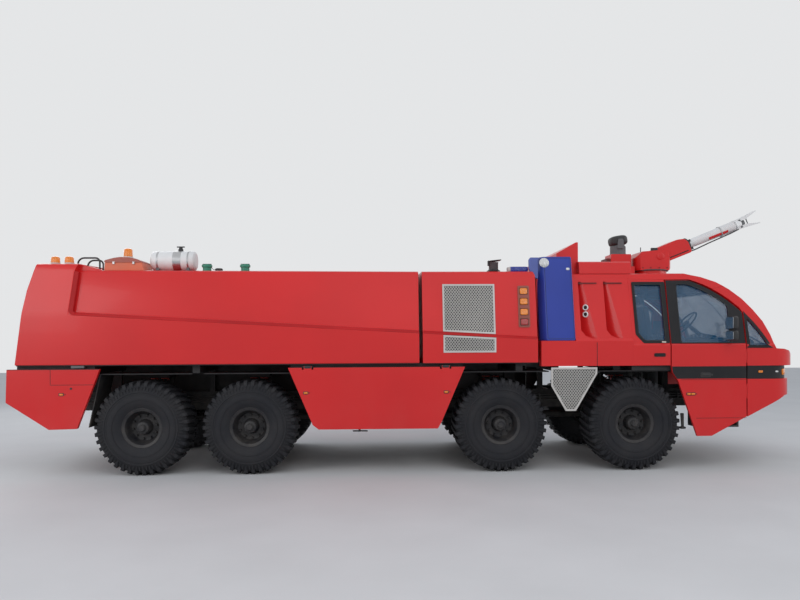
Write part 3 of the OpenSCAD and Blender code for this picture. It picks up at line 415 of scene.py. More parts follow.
class Shader:
    """A material in the making: a Principled shader with helpers for its nodes."""

    def __init__(self, name: str) -> None:
        """Starts an empty material with its shader and output."""
        self.material = bpy.data.materials.new(name)
        self.material.use_nodes = True
        self.tree = self.material.node_tree
        self.tree.nodes.clear()
        self.output = self.tree.nodes.new("ShaderNodeOutputMaterial")
        self.shader = self.node("ShaderNodeBsdfPrincipled")
        self.join(self.shader.outputs[0], self.output.inputs["Surface"])
        self.place = self.node("ShaderNodeTexCoord").outputs["Object"]

    def node(self, kind: str, inputs: dict | None = None, **values: object) -> bpy.types.Node:
        """Adds a node.

        Args:
            kind: Blender's name of the node.
            inputs: Socket names or numbers with a value or an output to join.
            **values: Properties of the node.

        Returns:
            The new node.
        """
        made = self.tree.nodes.new(kind)
        for key, value in values.items():
            setattr(made, key, value)
        for key, value in (inputs or {}).items():
            if isinstance(value, bpy.types.NodeSocket):
                self.join(value, made.inputs[key])
            else:
                made.inputs[key].default_value = value
        return made

    def join(self, source: bpy.types.NodeSocket, target: bpy.types.NodeSocket) -> None:
        """Links an output to an input."""
        self.tree.links.new(source, target)

    def noise(self, scale: float, detail: float = 4.0, stretch: Colour = (1, 1, 1)) -> bpy.types.NodeSocket:
        """Noise over the piece, with `scale` features in a metre."""
        mapping = self.node("ShaderNodeMapping", {"Vector": self.place, "Scale": stretch})
        return self.node("ShaderNodeTexNoise", {"Vector": mapping.outputs[0], "Scale": scale,
                                                "Detail": detail}).outputs["Fac"]

    def ramp(self, value: bpy.types.NodeSocket, low: float, high: float, to_low: float = 0.0, to_high: float = 1.0) -> bpy.types.NodeSocket:
        """A value spread from one range to another, held at its ends."""
        return self.node("ShaderNodeMapRange", {"Value": value, "From Min": low, "From Max": high,
                                                "To Min": to_low, "To Max": to_high}).outputs[0]

    def height(self) -> bpy.types.NodeSocket:
        """Height above the ground."""
        return self.node("ShaderNodeSeparateXYZ", {0: self.place}).outputs["Z"]

    def sum(self, first: bpy.types.NodeSocket, second: bpy.types.NodeSocket | float, operation: str = "ADD") -> bpy.types.NodeSocket:
        """Two values put together by an operation."""
        return self.node("ShaderNodeMath", {0: first, 1: second}, operation=operation, use_clamp=True).outputs[0]

    def blend(self, share: bpy.types.NodeSocket, first: object, second: object) -> bpy.types.NodeSocket:
        """A colour between two, by share."""
        made = self.node("ShaderNodeMix", data_type="RGBA")
        self.join(share, made.inputs["Factor"])
        for socket, value in (("A", first), ("B", second)):
            target = next(i for i in made.inputs if i.name == socket and i.type == "RGBA")
            if isinstance(value, bpy.types.NodeSocket):
                self.join(value, target)
            else:
                target.default_value = (*value, 1)
        return next(o for o in made.outputs if o.type == "RGBA")

    def bump(self, value: bpy.types.NodeSocket, depth: float) -> None:
        """Raises the surface by a value times a depth in metres."""
        node = self.node("ShaderNodeBump", {"Height": value, "Distance": depth, "Strength": 1.0})
        self.join(node.outputs[0], self.shader.inputs["Normal"])

    def put(self, **values: object) -> None:
        """Sets sockets of the shader; a name's underscores stand for spaces."""
        for key, value in values.items():
            socket = self.shader.inputs[key.replace("_", " ")]
            if isinstance(value, bpy.types.NodeSocket):
                self.join(value, socket)
            else:
                socket.default_value = value


DUST: Colour = (0.30, 0.26, 0.215)


@dataclass(frozen=True)
class Finish:
    """A coloured finish with road dust, uneven gloss and a fine texture.

    The dust share falls with height between `dust_low` and `dust_high` and is broken up by noise.
    """

    name: str
    colour: Colour
    roughness: float = 0.5
    metallic: float = 0.0
    coat: float = 0.0
    dust: float = 0.2
    dust_low: float = 0.3
    dust_high: float = 1.6
    grain: float = 600.0
    grain_depth: float = 0.0002
    fade: float = 0.12
    specular: float = 0.5
    glow: float = 0.0
    alpha: float = 1.0

    def material(self) -> bpy.types.Material:
        """The Blender material, made once."""
        known = bpy.data.materials.get(self.name)
        if known:
            return known
        s = Shader(self.name)
        cloud = s.noise(1.3, 5)
        fine = s.noise(self.grain, 2)
        low = s.ramp(s.height(), self.dust_low, self.dust_high, 1.0, 0.12)
        share = s.sum(s.sum(low, s.ramp(s.noise(7, 6), 0.3, 0.75), "MULTIPLY"), self.dust, "MULTIPLY")
        dark = tuple(c * (1 - self.fade) for c in self.colour)
        light = tuple(min(1, c * (1 + self.fade)) for c in self.colour)
        tone = s.blend(s.ramp(cloud, 0.3, 0.7), dark, light)
        rough = s.sum(s.ramp(s.noise(9, 4), 0.2, 0.8, self.roughness * 0.85, self.roughness * 1.15),
                      s.sum(share, 0.5, "MULTIPLY"))
        s.put(Base_Color=s.blend(share, tone, DUST), Roughness=rough, Metallic=self.metallic,
              Coat_Weight=self.coat, Coat_Roughness=0.06, Alpha=self.alpha, Specular_IOR_Level=self.specular)
        if self.glow:
            s.put(Emission_Color=(*self.colour, 1), Emission_Strength=self.glow)
        s.bump(fine, self.grain_depth)
        return s.material


@dataclass(frozen=True)
class CoachPaint(Finish):
    """Glossy coach paint whose panels are slightly wavy, so that reflections wander."""

    wave_depth: float = 0.0035

    def material(self) -> bpy.types.Material:
        """The paint, made once."""
        known = bpy.data.materials.get(self.name)
        if known:
            return known
        s = Shader(self.name)
        low = s.ramp(s.height(), self.dust_low, self.dust_high, 1.0, 0.10)
        patches = s.ramp(s.noise(3.5, 7, (1, 1, 0.5)), 0.42, 0.8)
        share = s.sum(s.sum(low, patches, "MULTIPLY"), self.dust, "MULTIPLY")
        dark = tuple(c * (1 - self.fade) for c in self.colour)
        light = tuple(min(1, c * (1 + self.fade)) for c in self.colour)
        tone = s.blend(s.ramp(s.noise(0.9, 3), 0.3, 0.7), dark, light)
        smears = s.ramp(s.noise(5, 3), 0.45, 0.9, 0.0, 0.04)
        s.put(Base_Color=s.blend(share, tone, DUST),
              Roughness=s.sum(s.sum(share, self.roughness), smears),
              Coat_Weight=self.coat, Coat_Roughness=0.05, Coat_IOR=1.5, Specular_IOR_Level=self.specular)
        waves = s.sum(s.noise(1.1, 1), s.sum(s.noise(220, 1), 0.004, "MULTIPLY"))
        s.bump(waves, self.wave_depth)
        return s.material


@dataclass(frozen=True)
class Pane(Finish):
    """Tinted safety glass, with a thin film of dust; its blue is partly tint and partly painted reflection of the sky.
    """

    def material(self) -> bpy.types.Material:
        """The glass, made once."""
        known = bpy.data.materials.get(self.name)
        if known:
            return known
        s = Shader(self.name)
        film = s.ramp(s.noise(5, 6), 0.4, 0.8, 0.0, 0.12)
        s.put(Base_Color=s.blend(film, self.colour, DUST), Roughness=s.sum(film, self.roughness, "ADD"),
              Alpha=s.sum(film, self.alpha, "ADD"), Coat_Weight=1.0, Coat_Roughness=0.02,
              Specular_IOR_Level=0.6)
        s.material.surface_render_method = "BLENDED"
        return s.material


@dataclass(frozen=True)
class Lens(Finish):
    """Coloured lamp plastic over close vertical ribs."""

    ribs: float = 90.0

    def material(self) -> bpy.types.Material:
        """The lens, made once."""
        known = bpy.data.materials.get(self.name)
        if known:
            return known
        s = Shader(self.name)
        wave = s.node("ShaderNodeTexWave", {"Vector": s.place, "Scale": self.ribs, "Distortion": 0.0},
                      bands_direction="X").outputs["Fac"]
        deep = tuple(c * 0.55 for c in self.colour)
        s.put(Base_Color=s.blend(wave, deep, self.colour), Roughness=self.roughness,
              Transmission_Weight=0.15, Coat_Weight=0.8, Coat_Roughness=0.04,
              Emission_Color=(*self.colour, 1), Emission_Strength=self.glow)
        s.bump(wave, 0.0012)
        return s.material


@dataclass(frozen=True)
class Rubber(Finish):
    """Tyre rubber: black, with patches and specks of brown dust."""

    def material(self) -> bpy.types.Material:
        """The rubber, made once."""
        known = bpy.data.materials.get(self.name)
        if known:
            return known
        s = Shader(self.name)
        dust = s.ramp(s.noise(3.5, 5), 0.25, 0.85, 0.0, self.dust)
        specks = s.ramp(s.noise(60, 5), 0.55, 0.9, 0.0, self.dust * 0.5)
        s.put(Base_Color=s.blend(s.sum(dust, specks), self.colour, DUST), Roughness=self.roughness,
              Specular_IOR_Level=0.35)
        s.bump(s.noise(240, 4), 0.0009)
        return s.material


@dataclass(frozen=True)
class Cloth(Finish):
    """Seat cloth: two crossed bands of threads."""

    threads: float = 260.0

    def material(self) -> bpy.types.Material:
        """The cloth, made once."""
        known = bpy.data.materials.get(self.name)
        if known:
            return known
        s = Shader(self.name)
        bands = [s.node("ShaderNodeTexWave", {"Vector": s.place, "Scale": self.threads},
                        bands_direction=way).outputs["Fac"] for way in ("Y", "Z")]
        weave = s.sum(bands[0], bands[1], "MULTIPLY")
        dark = tuple(c * 0.6 for c in self.colour)
        s.put(Base_Color=s.blend(weave, dark, self.colour), Roughness=0.9, Sheen_Weight=0.3)
        s.bump(weave, 0.0006)
        return s.material


RED = CoachPaint("red coach paint", (0.58, 0.014, 0.015), roughness=0.28, coat=0.1, dust=0.05, fade=0.05, specular=0.4)
# Darker red that paints the shade along the body's crease; the rear vent slats use it too.
PAINTED_SHADE_RED = Finish("red paint in the crease", (0.42, 0.0100, 0.012), roughness=0.40, dust=0.03, specular=0.3)
DARK_RED = Finish("red paint in shade", (0.11, 0.004, 0.004), roughness=0.5, dust=0.05)
BLUE = CoachPaint("blue gloss panel", (0.022, 0.045, 0.29), roughness=0.3, coat=0.1, dust=0.03, fade=0.10, specular=0.35)
DEEP_BLUE = Finish("deep blue seam", (0.012, 0.02, 0.10), roughness=0.4, dust=0.05)
PALE_FRAME = Finish("pale grille frame", (0.52, 0.50, 0.48), roughness=0.45, dust=0.15, dust_high=2.5)
CREAM = Finish("cream bezel", (0.50, 0.44, 0.38), roughness=0.5, dust=0.15)
BEZEL = Finish("brown red bezel", (0.26, 0.075, 0.055), roughness=0.5, dust=0.10)
PALE_BLUE = Finish("pale blue facet", (0.07, 0.10, 0.33), roughness=0.25, coat=0.2, dust=0.05)
WHITE = Finish("white enamel", (0.70, 0.70, 0.70), roughness=0.35, dust=0.25, dust_low=2.0, dust_high=4.5)
BAND = Finish("black band paint", (0.014, 0.014, 0.016), roughness=0.4, dust=0.06, specular=0.25)
CHASSIS = Finish("black chassis paint", (0.014, 0.014, 0.016), roughness=0.6, dust=0.30, dust_high=1.4, specular=0.35)
RIM = Finish("dark rim paint", (0.013, 0.0135, 0.017), roughness=0.5, dust=0.16, specular=0.4)
SPRING = Finish("red spring paint", (0.38, 0.03, 0.022), roughness=0.5, dust=0.3)
IRON = Finish("cast iron", (0.09, 0.09, 0.095), roughness=0.7, metallic=0.4, dust=0.4)
STEEL = Finish("bare steel", (0.50, 0.50, 0.51), roughness=0.32, metallic=1.0, dust=0.12)
CHROME = Finish("chrome", (0.80, 0.80, 0.81), roughness=0.12, metallic=1.0, dust=0.05)
SILVER = Finish("silver grille paint", (0.42, 0.41, 0.39), roughness=0.45, metallic=0.35, dust=0.2)
BLACK = Finish("black moulded plastic", (0.022, 0.022, 0.024), roughness=0.55, dust=0.2, grain=900)
GREY = Finish("grey moulded plastic", (0.10, 0.105, 0.11), roughness=0.6, dust=0.1, grain=900)
SEAL = Finish("rubber seal", (0.012, 0.012, 0.013), roughness=0.7, dust=0.15)
TYRE = Rubber("tyre rubber", (0.0105, 0.0115, 0.0155), roughness=0.72, dust=0.05)
# The glass's blue is partly real tint and partly a painted reflection of the sky.
GLASS = Pane("tinted glass", (0.015, 0.095, 0.20), roughness=0.03, alpha=0.40, dust=0.1)
SEAT = Cloth("seat cloth", (0.14, 0.15, 0.16))
AMBER = Lens("amber lens", (0.90, 0.25, 0.006), roughness=0.2, glow=0.18)
RED_LENS = Lens("red lens", (0.50, 0.012, 0.012), roughness=0.2, glow=0.05)
CLEAR_LENS = Lens("clear lens", (0.75, 0.76, 0.76), roughness=0.1, glow=0.15)
BLUE_LENS = Lens("blue lens", (0.01, 0.03, 0.35), roughness=0.15, glow=0.1)
GREEN = Finish("green caps", (0.03, 0.22, 0.14), roughness=0.45, dust=0.2)
LID_RED = Finish("brown red lid", (0.33, 0.075, 0.055), roughness=0.5, dust=0.2, dust_low=2.0, dust_high=4.5)
COPPER = Finish("orange red housing", (0.62, 0.13, 0.06), roughness=0.45, dust=0.2, dust_low=2.0, dust_high=4.5)


# Making pieces


@lru_cache(maxsize=1)
def rear_axle() -> float:
    """X of the rear-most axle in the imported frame."""
    low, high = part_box("rim_4_right")
    return (low.x + high.x) / 2


def piece(name: str, shape: Shape, body: str, finish: Finish, replaces: Sequence[str] = (),
          round_edge: float = 0.0, angle: float = 35.0) -> bpy.types.Object:
    """Makes a shape into an object that rides on a body.

    Args:
        name: The piece's name.
        shape: Its points and faces, with X counted ahead from the rear-most axle.
        body: The body it rides on.
        finish: Its finish.
        replaces: CAD nodes it stands for.
        round_edge: Width of the rounding of its edges, or 0.
        angle: Edges sharper than this many degrees stay sharp.

    Returns:
        The new object.
    """
    mesh = bpy.data.meshes.new(name)
    mesh.from_pydata((shape.points + np.array([rear_axle(), 0, 0])).tolist(), [], shape.faces)
    mesh.validate()
    made = bpy.data.objects.new(name, mesh)
    bpy.context.scene.collection.objects.link(made)
    return finished(made, body, finish, replaces, round_edge, angle)


def finished(made: bpy.types.Object, body: str, finish: Finish, replaces: Sequence[str],
             round_edge: float, angle: float) -> bpy.types.Object:
    """Smooths, rounds and dresses an object and puts it on its body.

    Args:
        made: The object.
        body: The body it rides on.
        finish: Its finish.
        replaces: CAD nodes it stands for.
        round_edge: Width of the rounding of its edges, or 0.
        angle: Edges sharper than this many degrees stay sharp.

    Returns:
        The same object.
    """
    mesh = made.data
    mesh.set_sharp_from_angle(angle=math.radians(angle))
    mesh.polygons.foreach_set("use_smooth", np.ones(len(mesh.polygons), bool))
    mesh.materials.clear()
    mesh.materials.append(finish.material())
    if round_edge:
        bevel = made.modifiers.new("round edges", "BEVEL")
        bevel.width = round_edge
        bevel.segments = 3
        bevel.limit_method = "ANGLE"
        bevel.angle_limit = math.radians(28)
        bevel.harden_normals = True
        bevel.use_clamp_overlap = True
    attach(made, body)
    if replaces:
        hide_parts(*replaces)
    LOG.info("made %s on %s", made.name, body)
    return made


def softened(node: str, name: str, body: str, finish: Finish, round_edge: float = 0.006,
             rule: Callable[[np.ndarray], np.ndarray] | None = None) -> bpy.types.Object:
    """A copy of a CAD node with its triangles merged into panels and its edges rounded.

    Args:
        node: The CAD node.
        name: The new piece's name.
        body: The body it rides on.
        finish: Its finish.
        round_edge: Width of the rounding.
        rule: Moves the panel's corners, with X counted from the rear-most axle, or None.

    Returns:
        The new object, which stands for the node.
    """
    mesh = bpy.data.objects[node].data.copy()
    mesh.name = name
    work = bmesh.new()
    work.from_mesh(mesh)
    bmesh.ops.remove_doubles(work, verts=work.verts, dist=2e-5)
    bmesh.ops.dissolve_limit(work, angle_limit=math.radians(0.6), verts=work.verts, edges=work.edges)
    if rule:
        origin = np.array([rear_axle(), 0, 0])
        moved = rule(np.array([corner.co for corner in work.verts]) - origin) + origin
        for corner, place in zip(work.verts, moved):
            corner.co = place
    work.to_mesh(mesh)
    work.free()
    for layer in list(mesh.attributes):
        if layer.name == "custom_normal":
            mesh.attributes.remove(layer)
    made = bpy.data.objects.new(name, mesh)
    bpy.context.scene.collection.objects.link(made)
    return finished(made, body, finish, [node], round_edge, 28.0)


def dress(node: str, finish: Finish) -> None:
    """Gives a CAD node a finish in all of its material slots."""
    for slot in bpy.data.objects[node].material_slots:
        slot.material = finish.material()


# The studio


@dataclass
class Studio:
    """Pale floor, soft lamps and the camera of the photograph."""

    camera_place: tuple[float, float, float] = (-0.6075, -11.1562, 1.9026)
    lens_mm: float = 30.837
    turn_right: float = 1.97
    roll: float = -0.29
    rise: float = 0.04825
    floor_size: float = 60.0
    ground_tone: float = 0.56
    world_tone: float = 0.72

    def build(self) -> None:
        """Makes the floor, the world, the lamps and the camera."""
        self.camera()
        self.floor()
        self.world()
        self.lamps()
        bpy.context.scene.view_settings.view_transform = "Standard"

    def camera(self) -> None:
        """A level camera at the photograph's place; its shift keeps the horizon where it is."""
        data = bpy.data.cameras.new("camera")
        data.sensor_width = 36.0
        data.lens = self.lens_mm
        data.shift_y = self.rise
        data.clip_end = 200
        made = bpy.data.objects.new("camera", data)
        made.location = self.camera_place
        made.rotation_euler = Euler((math.radians(90), math.radians(0), math.radians(-self.turn_right)))
        made.rotation_euler.rotate_axis("Z", math.radians(self.roll))
        bpy.context.scene.collection.objects.link(made)
        bpy.context.scene.camera = made

    def floor(self) -> None:
        """A wide pale floor whose colour shows as white paper to the camera."""
        half = self.floor_size / 2
        mesh = bpy.data.meshes.new("floor")
        mesh.from_pydata([(-half, -half, 0), (half, -half, 0), (half, half, 0), (-half, half, 0)], [], [(0, 1, 2, 3)])
        made = bpy.data.objects.new("floor", mesh)
        bpy.context.scene.collection.objects.link(made)
        s = Shader("pale floor")
        tone = s.ramp(s.noise(0.8, 6), 0.3, 0.7, self.ground_tone - 0.02, self.ground_tone + 0.02)
        grey = s.node("ShaderNodeCombineColor", {0: tone, 1: tone, 2: tone}).outputs[0]
        s.put(Base_Color=grey, Roughness=0.75)
        s.bump(s.noise(60, 3), 0.001)
        mesh.materials.append(s.material)

    def world(self) -> None:
        """A plain pale sky, a little cooler at the top."""
        world = bpy.data.worlds.new("sky")
        world.use_nodes = True
        bpy.context.scene.world = world
        tree = world.node_tree
        tree.nodes.clear()
        place = tree.nodes.new("ShaderNodeTexCoord")
        split = tree.nodes.new("ShaderNodeSeparateXYZ")
        ramp = tree.nodes.new("ShaderNodeValToRGB")
        back = tree.nodes.new("ShaderNodeBackground")
        seen = tree.nodes.new("ShaderNodeBackground")
        path = tree.nodes.new("ShaderNodeLightPath")
        mix = tree.nodes.new("ShaderNodeMixShader")
        out = tree.nodes.new("ShaderNodeOutputWorld")
        ramp.color_ramp.elements[0].position = 0.0
        ramp.color_ramp.elements[0].color = (0.86, 0.86, 0.86, 1)
        ramp.color_ramp.elements[1].position = 0.6
        ramp.color_ramp.elements[1].color = (0.74, 0.80, 0.90, 1)
        back.inputs["Strength"].default_value = self.world_tone
        seen.inputs["Color"].default_value = (0.78, 0.79, 0.80, 1)
        tree.links.new(place.outputs["Generated"], split.inputs[0])
        tree.links.new(split.outputs["Z"], ramp.inputs[0])
        tree.links.new(ramp.outputs[0], back.inputs["Color"])
        share = path.outputs["Is Camera Ray"]
        for word in ("Is Glossy Ray", "Is Transmission Ray"):
            larger = tree.nodes.new("ShaderNodeMath")
            larger.operation = "MAXIMUM"
            tree.links.new(share, larger.inputs[0])
            tree.links.new(path.outputs[word], larger.inputs[1])
            share = larger.outputs[0]
        tree.links.new(share, mix.inputs[0])
        tree.links.new(back.outputs[0], mix.inputs[1])
        tree.links.new(seen.outputs[0], mix.inputs[2])
        tree.links.new(mix.outputs[0], out.inputs[0])

    def lamps(self) -> None:
        """Four large soft lamps: over the near side, at the tail, ahead and behind."""
        spots = [("key", (2.0, -11.0, 8.5), (0.3, 0.0, 1.6), 9.0, 480.0),
                 ("tail", (-10.0, -8.0, 5.0), (0.0, 0.0, 1.6), 6.0, 260.0),
                 ("front", (13.0, -3.0, 6.0), (2.0, 0.0, 1.5), 6.0, 200.0),
                 ("back", (-9.0, 8.0, 8.0), (0.0, 0.0, 2.0), 8.0, 300.0)]
        for name, place, target, size, power in spots:
            data = bpy.data.lights.new(name, "AREA")
            data.size = size
            data.energy = power
            made = bpy.data.objects.new(name, data)
            made.location = place
            made.rotation_euler = (Vector(target) - Vector(place)).to_track_quat("-Z", "Y").to_euler()
            made.visible_glossy = name != "key"
            bpy.context.scene.collection.objects.link(made)


# Wheels


@dataclass
class WheelSet:
    """The eight wheels: deep lugged tyres on dark rims with hub bosses."""

    centre_y: float
    hub_height: float
    axles: dict[int, float]
    radius: float = 0.665
    width: float = 0.60
    bead: float = 0.27
    lugs: int = 38
    tread_depth: float = 0.032
    parts: list[bpy.types.Object] = field(default_factory=list)

    def place(self, shape: Shape, axle: int, side: Side) -> Shape:
        """Puts a wheel part, turned about Y with its outer face towards +Y, on its axle."""
        return shape.moved(self.axles[axle], self.centre_y, self.hub_height).on(side)

    def casing(self) -> Shape:
        """The turned casing: bead, bulged sidewall with a raised ring, and the tread's ground."""
        half, ground = self.width / 2, self.radius - self.tread_depth
        wall = [(self.bead, half - 0.085), (self.bead + 0.012, half - 0.052), (self.bead + 0.05, half - 0.028),
                (0.36, half - 0.010), (0.41, half - 0.001), (0.46, half), (0.497, half - 0.004),
                (0.503, half + 0.003), (0.516, half + 0.003), (0.522, half - 0.006), (0.56, half - 0.016),
                (0.60, half - 0.040), (ground, half - 0.085), (ground + 0.004, 0.0)]
        profile = [(r, h) for r, h in wall] + [(r, -h) for r, h in wall[-2::-1]]
        profile.append(profile[0])
        return lathe(profile, 96, axis="Y")

    def lug(self) -> Shape:
        """One shoulder lug: a tapered block from the shoulder over the tread, bent at its middle."""
        half, top, ground = self.width / 2, self.radius, self.radius - self.tread_depth - 0.006
        stations = [(half - 0.018, ground - 0.075, ground - 0.052, -0.020, 0.020),
                    (half - 0.030, ground - 0.02, top - 0.030, -0.026, 0.026),
                    (half - 0.055, ground, top - 0.008, -0.028, 0.028),
                    (half - 0.13, ground, top, -0.026, 0.030),
                    (half - 0.20, ground, top, -0.012, 0.042),
                    (half - 0.27, ground, top, 0.004, 0.050)]
        rows = [[(y, low, a), (y, high, a + 0.003), (y, high, b - 0.003), (y, low, b)]
                for y, low, high, a, b in stations]
        grid = np.array(rows, float)
        points = np.stack([grid[..., 2], grid[..., 0], grid[..., 1]], axis=-1)
        return surface(points, around=True, caps=True)

    def tread(self) -> Shape:
        """All lugs: a ring on each shoulder, half a pitch apart, and a row of centre blocks."""
        pitch = 360.0 / self.lugs
        outer = self.lug()
        inner = Shape(outer.points * np.array([-1, -1, 1]), outer.faces)
        ground, top = self.radius - self.tread_depth - 0.006, self.radius
        block = brick((-0.016, 0.016), (-0.030, 0.030), (ground, top)).turned("Z", 28)
        ring = []
        for k in range(self.lugs):
            ring.append(outer.turned("Y", k * pitch))
            ring.append(inner.turned("Y", (k + 0.5) * pitch))
            ring.append(block.turned("Y", (k + 0.25) * pitch))
        return joined(ring)

    def sidewall_marks(self) -> Shape:
        """Raised short radial bars in a ring at the shoulder, and two fine ribs on the sidewall."""
        half = self.width / 2
        bars = [brick((-0.006, 0.006), (half - 0.014, half - 0.001), (0.532, 0.585)).turned("Y", k * 360 / 76)
                for k in range(76)]
        ribs = [lathe([(r, half - 0.012), (r, half + 0.0025), (r + 0.006, half + 0.0025), (r + 0.006, half - 0.012),
                       (r, half - 0.012)], 96, axis="Y") for r in (0.395, 0.475)]
        return joined(bars + ribs)

    def rim(self) -> Shape:
        """The turned rim: flange, well, dished disc and hub boss."""
        half = self.width / 2
        b = self.bead
        return lathe([(0.0, 0.245), (0.044, 0.245), (0.050, 0.240), (0.052, 0.222), (0.078, 0.216), (0.088, 0.205),
                      (0.098, 0.150), (0.100, 0.110), (0.112, 0.082), (0.150, 0.078), (0.190, 0.086),
                      (0.205, 0.104), (0.212, 0.150), (0.222, 0.190), (b - 0.038, half - 0.085),
                      (b - 0.030, half - 0.066), (b - 0.006, half - 0.056), (b + 0.006, half - 0.050),
                      (b + 0.014, half - 0.055), (b + 0.015, half - 0.068), (b, half - 0.088),
                      (b, -half + 0.085), (b - 0.03, -half + 0.075), (b - 0.05, -half + 0.12),
                      (b - 0.055, 0.05), (0.10, 0.055), (0.10, -0.07), (0.057, -0.07), (0.057, 0.0), (0.0, 0.0)],
                     72, axis="Y")

    def fasteners(self) -> Shape:
        """Wheel nuts, hub cover bolts, the hexagonal hub cap and the valve."""
        nut = joined([lathe([(0.0, 0.0), (0.019, 0.0), (0.019, 0.022), (0.015, 0.027), (0.0, 0.027)], 6, axis="Y"),
                      lathe([(0.0, 0.02), (0.010, 0.02), (0.010, 0.042), (0.0, 0.042)], 12, axis="Y")])
        cover = lathe([(0.0, 0.0), (0.010, 0.0), (0.010, 0.012), (0.0, 0.012)], 6, axis="Y")
        nuts = [nut.moved(0, 0.078, 0.1675).turned("Y", k * 36) for k in range(10)]
        bolts = [cover.moved(0, 0.205, 0.076).turned("Y", k * 45 + 22) for k in range(8)]
        cap = lathe([(0.0, 0.22), (0.046, 0.22), (0.046, 0.262), (0.040, 0.268), (0.0, 0.268)], 6, axis="Y")
        valve = tube([(0.0, 0.11, 0.208), (0.0, 0.16, 0.215), (0.0, 0.20, 0.222)], 0.006, 8)
        lock = [brick((-0.012, 0.012), (0.196, 0.214), (0.232, 0.246)).turned("Y", k * 45) for k in range(8)]
        return joined(nuts + bolts + [cap, valve] + lock)

    def build(self) -> None:
        """Makes and dresses all eight wheels."""
        tyre = joined([self.casing(), self.tread(), self.sidewall_marks()])
        rim, small = self.rim(), self.fasteners()
        for axle in self.axles:
            for side in Side:
                tag = f"{axle}_{side.word}"
                turn = 11.0 * axle
                body = f"wheel_{tag}"
                self.parts.append(piece(f"lugged_tyre_{tag}", self.place(tyre.turned("Y", turn), axle, side), body, TYRE,
                                        [f"tyre_{tag}"]))
                self.parts.append(piece(f"dished_rim_{tag}", self.place(rim, axle, side), body, RIM,
                                        [f"rim_{tag}"]))
                self.parts.append(piece(f"wheel_nuts_{tag}", self.place(small.turned("Y", turn), axle, side), body, RIM))


# Bodywork


CHASSIS_BODY = "chassis"


def border(outline: Outline, width: float, near: float, far: float, step: float = 0.05) -> Shape:
    """A flat ring inside an outline in X and Z, in short pieces so that it can be bent, from Y near to far."""
    outer, inner = np.array(outline, float), np.array(grown(outline, -width), float)
    rows = []
    for a, b, c, d in zip(outer, np.roll(outer, -1, 0), inner, np.roll(inner, -1, 0)):
        for t in np.linspace(0, 1, max(1, math.ceil(float(np.linalg.norm(b - a)) / step)), endpoint=False):
            o, i = a + (b - a) * t, c + (d - c) * t
            rows.append([(o[0], near, o[1]), (o[0], far, o[1]), (i[0], far, i[1]), (i[0], near, i[1])])
    return outward(surface(np.array(rows), around=True, along=True))


def outward(shape: Shape) -> Shape:
    """The closed shape with its faces turned outwards, by the sign of its volume."""
    total = 0.0
    for face in shape.faces:
        first = shape.points[face[0]]
        for i, j in zip(face[1:-1], face[2:]):
            total += float(np.dot(first, np.cross(shape.points[i], shape.points[j])))
    return shape if total >= 0 else Shape(shape.points, tuple(face[::-1] for face in shape.faces))


def cushion(low: Sequence[float], high: Sequence[float], crown: float, pull: float, channels: Sequence[float] = (), up: int = 2) -> Shape:
    """A stuffed pad: a rounded block, crowned on top, drawn in at its sides, with sewn channels.

    With a, b the place across the pad from -1 to 1 and w along `up`, the top rises by
    crown (1 - a^2)(1 - b^2), the sides come in by pull (1 - a^2) or pull (1 - b^2), and a channel at y0
    sinks the top by 14 mm exp(-((y - y0) / 11 mm)^2).

    Args:
        low: Lowest corner.
        high: Highest corner.
        crown: Rise of the middle over the edges.
        pull: How far the sides come in between the corners.
        channels: Y of the sewn channels.
        up: The axis that the pad is crowned along: 0 for X, 2 for Z.

    Returns:
        The pad.
    """
    base = pod(low, high, 0.22, 22)
    middle, half = (np.array(low) + np.array(high)) / 2, (np.array(high) - np.array(low)) / 2
    unit = (base.points - middle) / half
    flat = [i for i in (0, 1, 2) if i != up]
    a, b, w = unit[:, flat[0]], unit[:, flat[1]], unit[:, up]
    points = base.points.copy()
    points[:, flat[0]] -= np.sign(a) * np.abs(a) * pull * (1 - b ** 2)
    points[:, flat[1]] -= np.sign(b) * np.abs(b) * pull * (1 - a ** 2)
    rise = crown * ((1 - a ** 2) * (1 - b ** 2) - 1) * np.clip(w, 0, 1)
    for y0 in channels:
        rise = rise - 0.014 * np.exp(-((base.points[:, 1] - y0) / 0.011) ** 2) * np.clip(w, 0, 1)
    points[:, up] += rise
    return Shape(points, base.faces)


BOW_AXIS = 4.5
SCREEN_CENTRE = (2.9447, 0.9002)
FULLNESS = np.array([(26, 0), (35, 0.046), (44, 0.058), (50, 0.069), (58, 0.066), (63, 0.054), (69, 0.019), (74, 0)])


def fuller_screen(points: np.ndarray) -> np.ndarray:
    """Pushes the screen, its pillars and the roof's front edge out to the real, fuller outline.

    The outline is an arc about SCREEN_CENTRE, whose first value counts from the bow's upright axis. The push
    goes by FULLNESS, degrees on the arc and metres, and fades out from 34 to 84 mm inside the arc.
    """
    x, y, z = points.T
    reach, rise = np.hypot(x - BOW_AXIS, y) - SCREEN_CENTRE[0], z - SCREEN_CENTRE[1]
    radius = np.hypot(reach, rise)
    push = np.interp(np.degrees(np.arctan2(rise, reach)), *FULLNESS.T) * np.clip((radius - 1.935) / 0.05, 0, 1)
    grow = np.where(x > 7.6, 1 + push / radius, 1.0)
    across = np.sqrt((reach * grow + SCREEN_CENTRE[0]) ** 2 - y ** 2)
    return np.column_stack([np.where(grow > 1, BOW_AXIS + across, x), y, SCREEN_CENTRE[1] + rise * grow])


